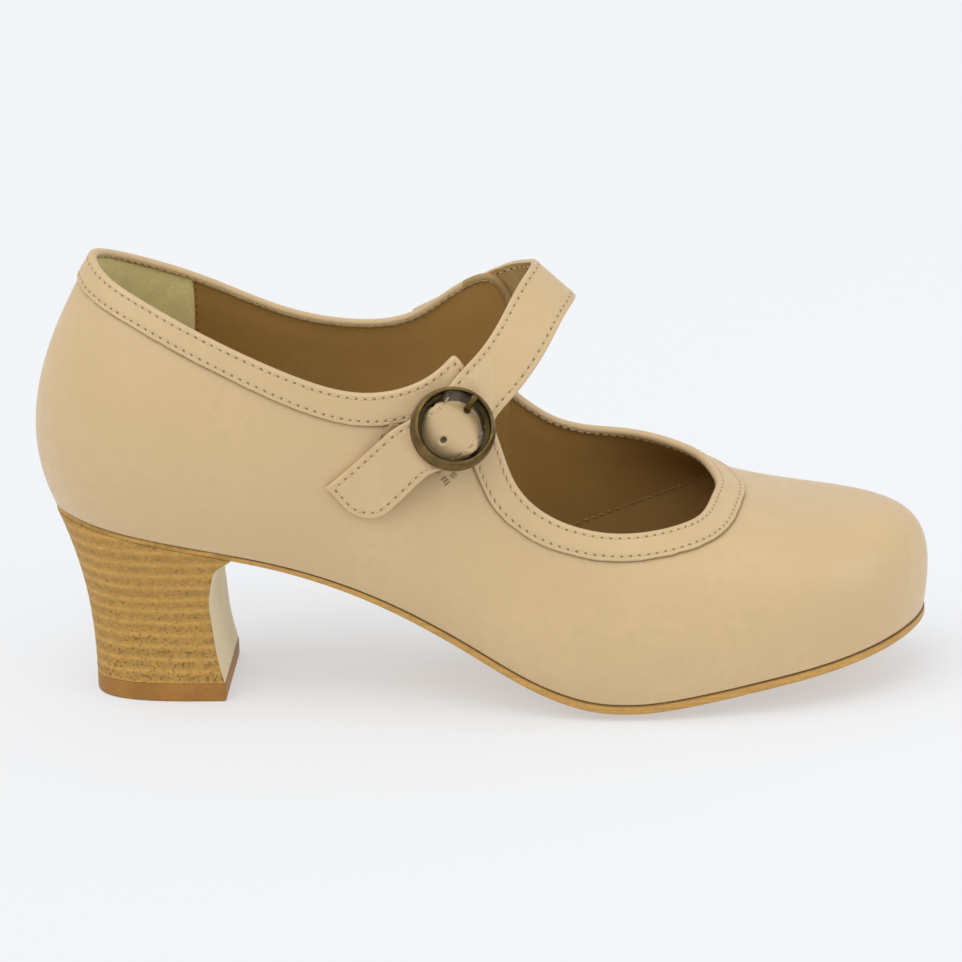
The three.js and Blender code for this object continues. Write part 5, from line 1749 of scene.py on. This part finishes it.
def plain_grain(name, colour, roughness, streak=(1, 1, 1), scale=90, depth=0.08, gloss=0.2):
    """Even finish with streaks, flecks and a slight unevenness."""
    f = Finish(name)
    streaks = f.noise(scale, 4, 0.6, f.stretched(streak))
    fine = f.noise(1100, 3)
    base = f.blend(f.fit(streaks, 0.3, 0.7), tint(colour, 0.86), tint(colour, 1.08))
    base = f.blend(f.fit(fine, 0.4, 0.8), base, tint(colour, 0.85))
    f.set(Base_Color=base, Normal=f.bump(fine, depth, 0.5))
    f.set(Roughness=roughness, Specular_IOR_Level=gloss)
    return f.material


def brass_finish(name, colour):
    """Antique brass: dark patina with brighter worn patches and fine scratches."""
    f = Finish(name)
    cloud = f.noise(220, 5, 0.65)
    fine = f.noise(1800, 3, 0.6)
    base = f.blend(f.fit(cloud, 0.35, 0.7), tint(colour, 0.6), tint(colour, 1.25))
    f.set(Base_Color=base, Roughness=f.fit(fine, 0.2, 0.8, 0.28, 0.5), Normal=f.bump(fine, 0.02, 0.4))
    f.set(Metallic=0.9)
    return f.material


def thread_finish(name, colour):
    """Twisted thread: fine slanted stripes."""
    f = Finish(name)
    fine = f.noise(2600, 2)
    base = f.blend(f.fit(fine, 0.3, 0.7), tint(colour, 0.82), tint(colour, 1.06))
    f.set(Base_Color=base, Normal=f.bump(fine, 0.05, 0.5))
    f.set(Roughness=0.7)
    return f.material


def make_materials(colours):
    """All the finishes, from the colours of the sidebar."""
    matt = dict(grain=0.8, gloss=0.2, sheen=0)
    return {
        "leather": leather("nude_leather", colours.leather, (ROW_TOP, 100 - ROW_LOW, -ROW_TOP), edge=True),
        "strap": leather("strap_leather", colours.leather, (STRAP_ROW,), painted_strap_shade=True),
        # The strap's back colour times 0.66: painted shade on the ear's upward-facing rim.
        "ear_back": leather("ear_back_shaded_leather", tint(colours.strap_back, 0.66), (-ROW_TOP,), 0.6,
                            broad_tone=0.92, **matt),
        "strap_back": leather("strap_back_leather", colours.strap_back, (STRAP_ROW,), 0.6,
                              broad_tone=0.92, **matt),
        "lining": leather("brown_lining", colours.lining, (1.3,), 0.6, broad_tone=0.88,
                          below=colours.vamp_lining, **matt),
        "counter": suede("counter_suede", colours.counter),
        "insole": leather("insole_leather", colours.insole, (), 0.65, broad_tone=0.88, **matt),
        "sole_edge": sole_edge_finish("sole_edge", colours.sole),
        "sole_tread": plain_grain("sole_tread", colours.sole, 0.6),
        "stack": stack_finish("stacked_heel", colours.stack),
        "breast": plain_grain("heel_breast", colours.breast, 0.55, (1, 1, 0.15)),
        "top_piece": plain_grain("top_piece_rubber", colours.top_piece, 0.5),
        "brass": brass_finish("antique_brass", colours.brass),
        "patina": brass_finish("dark_brass", tuple(0.35 * value for value in colours.brass)),
        # The keeper's colour is the upper's leather darkened: painted shade under the strap.
        "keeper": suede("keeper_shaded_leather", colours.keeper),
        "thread": thread_finish("thread", colours.thread),
        "dark_thread": thread_finish("dark_thread", tint((0.60, 0.42, 0.17), 0.62)),
    }


def colour(name, description, value):
    """A colour property, linear."""
    return bpy.props.FloatVectorProperty(
        name=name, description=description, subtype="COLOR", size=3, min=0, max=1, default=value)


def length(name, description, value):
    """A length property in metres."""
    return bpy.props.FloatProperty(
        name=name, description=description, unit="LENGTH", subtype="DISTANCE", min=0,
        default=value, precision=5)


class ShoeColours(bpy.types.PropertyGroup):
    """Colours of the shoe's materials"""

    leather: colour("Leather", "Upper and strap leather", (0.62, 0.435, 0.222))
    strap_back: colour("Strap back", "Back of the strap", (0.60, 0.40, 0.165))
    lining: colour("Lining", "Smooth lining leather", (0.39, 0.215, 0.06))
    vamp_lining: colour("Vamp lining", "Lining ahead of the seam inside the vamp", (0.42, 0.245, 0.075))
    counter: colour("Heel lining", "Suede lining at the heel", (0.92, 0.80, 0.37))
    insole: colour("Insole", "Insole sock", (0.20, 0.12, 0.04))
    sole: colour("Sole", "Sole edge and tread", (0.56, 0.315, 0.085))
    stack: colour("Heel stack", "Layers of the heel", (0.515, 0.29, 0.073))
    breast: colour("Heel breast", "Front face of the heel", (0.82, 0.73, 0.49))
    top_piece: colour("Top piece", "Heel's tread piece", (0.375, 0.175, 0.04))
    brass: colour("Brass", "Buckle metal", (0.20, 0.135, 0.045))
    # The keeper's default is the leather colour darkened to about 0.72: painted shade.
    keeper: colour("Keeper", "Strip that holds the buckle", (0.45, 0.315, 0.15))
    thread: colour("Thread", "Sewing thread", (0.66, 0.50, 0.30))


class ShoeStitches(bpy.types.PropertyGroup):
    """Sizes of the stitching"""

    stitch_length: length("Stitch", "Length of thread that shows between two holes", 0.0018)
    thread_diameter: length("Thread", "Diameter of the sewing thread", 0.00048)


class ShoeStage(bpy.types.PropertyGroup):
    """Floor and light"""

    floor: colour("Floor", "Colour of the floor", (0.84, 0.855, 0.875))
    floor_glow: bpy.props.FloatProperty(
        name="Floor glow", description="Share of the floor's brightness that it gives off itself",
        min=0, max=1, default=0.5)
    floor_level: bpy.props.FloatProperty(
        name="Floor level", description="Brightness of a wholly glowing floor", min=0, default=1.04)
    surround: colour("Surround", "Colour of the light from all round", (0.97, 0.985, 1.0))
    surround_strength: bpy.props.FloatProperty(
        name="Surround", description="Strength of the light from all round", min=0, default=0.74)
    key_strength: bpy.props.FloatProperty(
        name="Key light", description="Strength of the soft light from the upper left", min=0, default=1.2)
    fill_power: bpy.props.FloatProperty(
        name="Fill light", description="Power of the light at the right", min=0, unit="POWER", default=2.2)


WORK = {}


def materials():
    """The finishes, made once."""
    if "materials" not in WORK:
        WORK["materials"] = make_materials(bpy.context.scene.shoe_colours)
    return WORK["materials"]


class SHOE_OT_upper(bpy.types.Operator):
    """Build the upper with its topline band"""

    bl_idname = "shoe.upper"
    bl_label = "Upper"

    def execute(self, context):
        build_upper(materials())
        return {"FINISHED"}


class SHOE_OT_linings(bpy.types.Operator):
    """Build the smooth lining and the suede at the heel"""

    bl_idname = "shoe.linings"
    bl_label = "Linings"

    def execute(self, context):
        kit = materials()
        build_lining("counter_lining", kit["counter"], -0.23, 0.27, 1.25, 0.9)
        face, normals, turns = build_lining(
            "quarter_lining", kit["lining"], SEAM_NEAR, TURNS - SEAM_FAR, 1.42, 1.0)
        build_lining_seam(context.scene.shoe_stitches, kit, face, normals, turns)
        return {"FINISHED"}


class SHOE_OT_soles(bpy.types.Operator):
    """Build the outsole and the insole"""

    bl_idname = "shoe.soles"
    bl_label = "Soles"

    def execute(self, context):
        build_outsole(materials())
        build_insole(materials())
        return {"FINISHED"}


class SHOE_OT_heel(bpy.types.Operator):
    """Build the stacked heel and its top piece"""

    bl_idname = "shoe.heel"
    bl_label = "Heel"

    def execute(self, context):
        build_heel(materials())
        build_top_piece(materials())
        return {"FINISHED"}


class SHOE_OT_strap(bpy.types.Operator):
    """Build the keeper, the strap and the strap's stitches"""

    bl_idname = "shoe.strap"
    bl_label = "Strap"

    def execute(self, context):
        cloud = outer_cloud()
        keeper = build_keeper(materials(), cloud)
        build_tacks(context.scene.shoe_stitches, materials(), cloud)
        ends = keeper[np.abs((keeper - BUCKLE_PLACE) @ BUCKLE_ALONG) > 6]
        strap = build_strap(materials(), np.concatenate([cloud, ends]))
        build_strap_stitches(context.scene.shoe_stitches, materials(), strap)
        return {"FINISHED"}


class SHOE_OT_buckle(bpy.types.Operator):
    """Build the buckle's ring, bar and prong"""

    bl_idname = "shoe.buckle"
    bl_label = "Buckle"

    def execute(self, context):
        build_buckle(materials())
        build_prong(materials())
        return {"FINISHED"}


class SHOE_OT_stitches(bpy.types.Operator):
    """Build the band's stitches"""

    bl_idname = "shoe.stitches"
    bl_label = "Stitches"

    def execute(self, context):
        build_band_stitches(context.scene.shoe_stitches, materials())
        return {"FINISHED"}


# The photograph's view: what it looks at, how far off, how steeply, turned and tilted, and
# the focal length in pixels of a 962 pixel frame
VIEW_TARGET = np.array([87.0, 0.0, 56.2])
VIEW_DISTANCE = 900
VIEW_ELEVATION = 16
VIEW_YAW = 1.5
VIEW_ROLL = -1.2
VIEW_FOCAL = 3.63 * 900
FRAME_PIXELS = 962
SENSOR = 36


def placement(right, up, back, place):
    """Matrix with three directions as its axes, at a place in metres."""
    matrix = Matrix.Identity(4)
    for k, axis in enumerate((right, up, back, place)):
        for n in range(3):
            matrix[n][k] = axis[n]
    return matrix


def make_camera():
    """Camera looking at the target from its distance, elevation, yaw and roll."""
    rise, yaw, roll = (math.radians(v) for v in (VIEW_ELEVATION, VIEW_YAW, VIEW_ROLL))
    back = np.array([math.sin(yaw) * math.cos(rise), -math.cos(yaw) * math.cos(rise), math.sin(rise)])
    right = unit(np.cross(-back, UP))
    up = np.cross(right, -back)
    turned = math.cos(roll) * right + math.sin(roll) * up
    up = -math.sin(roll) * right + math.cos(roll) * up
    data = bpy.data.cameras.new("camera")
    data.sensor_width = SENSOR
    data.lens = VIEW_FOCAL / FRAME_PIXELS * SENSOR
    data.clip_start = 0.05
    data.clip_end = 50
    camera = bpy.data.objects.new("camera", data)
    camera.matrix_world = placement(turned, up, back, (VIEW_TARGET + back * VIEW_DISTANCE) * MM)
    bpy.context.scene.collection.objects.link(camera)
    bpy.context.scene.camera = camera


def aimed(place, aim):
    """Placement at a point with its -Z axis towards an aim."""
    place, aim = np.array(place, float), np.array(aim, float)
    back = unit(place - aim)
    right = unit(np.cross(UP, back))
    return placement(right, np.cross(back, right), back, place)


def add_light(name, kind, place, strength, tone, **sizes):
    """A light at a place, looking at the shoe."""
    data = bpy.data.lights.new(name, kind)
    data.energy = strength
    data.color = tone
    for key, value in sizes.items():
        setattr(data, key, value)
    light = bpy.data.objects.new(name, data)
    light.matrix_world = aimed(place, (0.09, 0, 0.05))
    bpy.context.scene.collection.objects.link(light)


class SHOE_OT_stage(bpy.types.Operator):
    """Build the floor, the light and the camera"""

    bl_idname = "shoe.stage"
    bl_label = "Stage"

    def execute(self, context):
        stage = context.scene.shoe_stage
        size = 14.0
        mesh = bpy.data.meshes.new("floor")
        corners = [(-size, -size, 0), (size, -size, 0), (size, size, 0), (-size, size, 0)]
        mesh.from_pydata(corners, [], [(0, 1, 2, 3)])
        floor = bpy.data.objects.new("floor", mesh)
        context.scene.collection.objects.link(floor)
        f = Finish("floor")
        f.set(Base_Color=tint(stage.floor, 1 - stage.floor_glow))
        f.set(Emission_Color=tint(stage.floor, 1),
              Emission_Strength=stage.floor_glow * stage.floor_level, Roughness=0.9,
              Specular_IOR_Level=0.1)
        mesh.materials.append(f.material)
        world = bpy.data.worlds.new("studio")
        world.use_nodes = True
        shade = world.node_tree.nodes["Background"]
        shade.inputs["Color"].default_value = tuple(stage.surround) + (1,)
        shade.inputs["Strength"].default_value = stage.surround_strength
        context.scene.world = world
        add_light("key_light", "SUN", (-0.4, -0.5, 1.3), stage.key_strength, (1, 0.99, 0.97), angle=1.1)
        add_light("fill_light", "AREA", (1.1, -0.5, 0.5), stage.fill_power, (1, 1, 1), size=0.8)
        make_camera()
        context.scene.view_settings.view_transform = "Standard"
        return {"FINISHED"}


class SHOE_PT_panel(bpy.types.Panel):
    """Lists the shoe's colours, sizes and pieces"""

    bl_label = "Shoe"
    bl_idname = "SHOE_PT_panel"
    bl_space_type = "VIEW_3D"
    bl_region_type = "UI"
    bl_category = "Shoe"

    def draw(self, context):
        for group in (context.scene.shoe_colours, context.scene.shoe_stitches, context.scene.shoe_stage):
            box = self.layout.box()
            for key in group.__annotations__:
                box.prop(group, key)
        for operator in BUILDERS:
            self.layout.operator(operator.bl_idname)


BUILDERS = (
    SHOE_OT_stage, SHOE_OT_upper, SHOE_OT_linings, SHOE_OT_soles, SHOE_OT_heel,
    SHOE_OT_strap, SHOE_OT_buckle, SHOE_OT_stitches,
)
GROUPS = {"shoe_colours": ShoeColours, "shoe_stitches": ShoeStitches, "shoe_stage": ShoeStage}


def register():
    """Registers the groups, the operators and the panel."""
    for name, group in GROUPS.items():
        bpy.utils.register_class(group)
        setattr(bpy.types.Scene, name, bpy.props.PointerProperty(type=group))
    for operator in BUILDERS:
        bpy.utils.register_class(operator)
    bpy.utils.register_class(SHOE_PT_panel)


def unregister():
    """Takes them away again."""
    bpy.utils.unregister_class(SHOE_PT_panel)
    for operator in reversed(BUILDERS):
        bpy.utils.unregister_class(operator)
    for name, group in GROUPS.items():
        delattr(bpy.types.Scene, name)
        bpy.utils.unregister_class(group)


def main():
    """Builds every piece in order."""
    register()
    bpy.ops.shoe.stage()
    bpy.ops.shoe.upper()
    bpy.ops.shoe.linings()
    bpy.ops.shoe.soles()
    bpy.ops.shoe.heel()
    bpy.ops.shoe.strap()
    bpy.ops.shoe.buckle()
    bpy.ops.shoe.stitches()


if __name__ == "__main__":
    main()
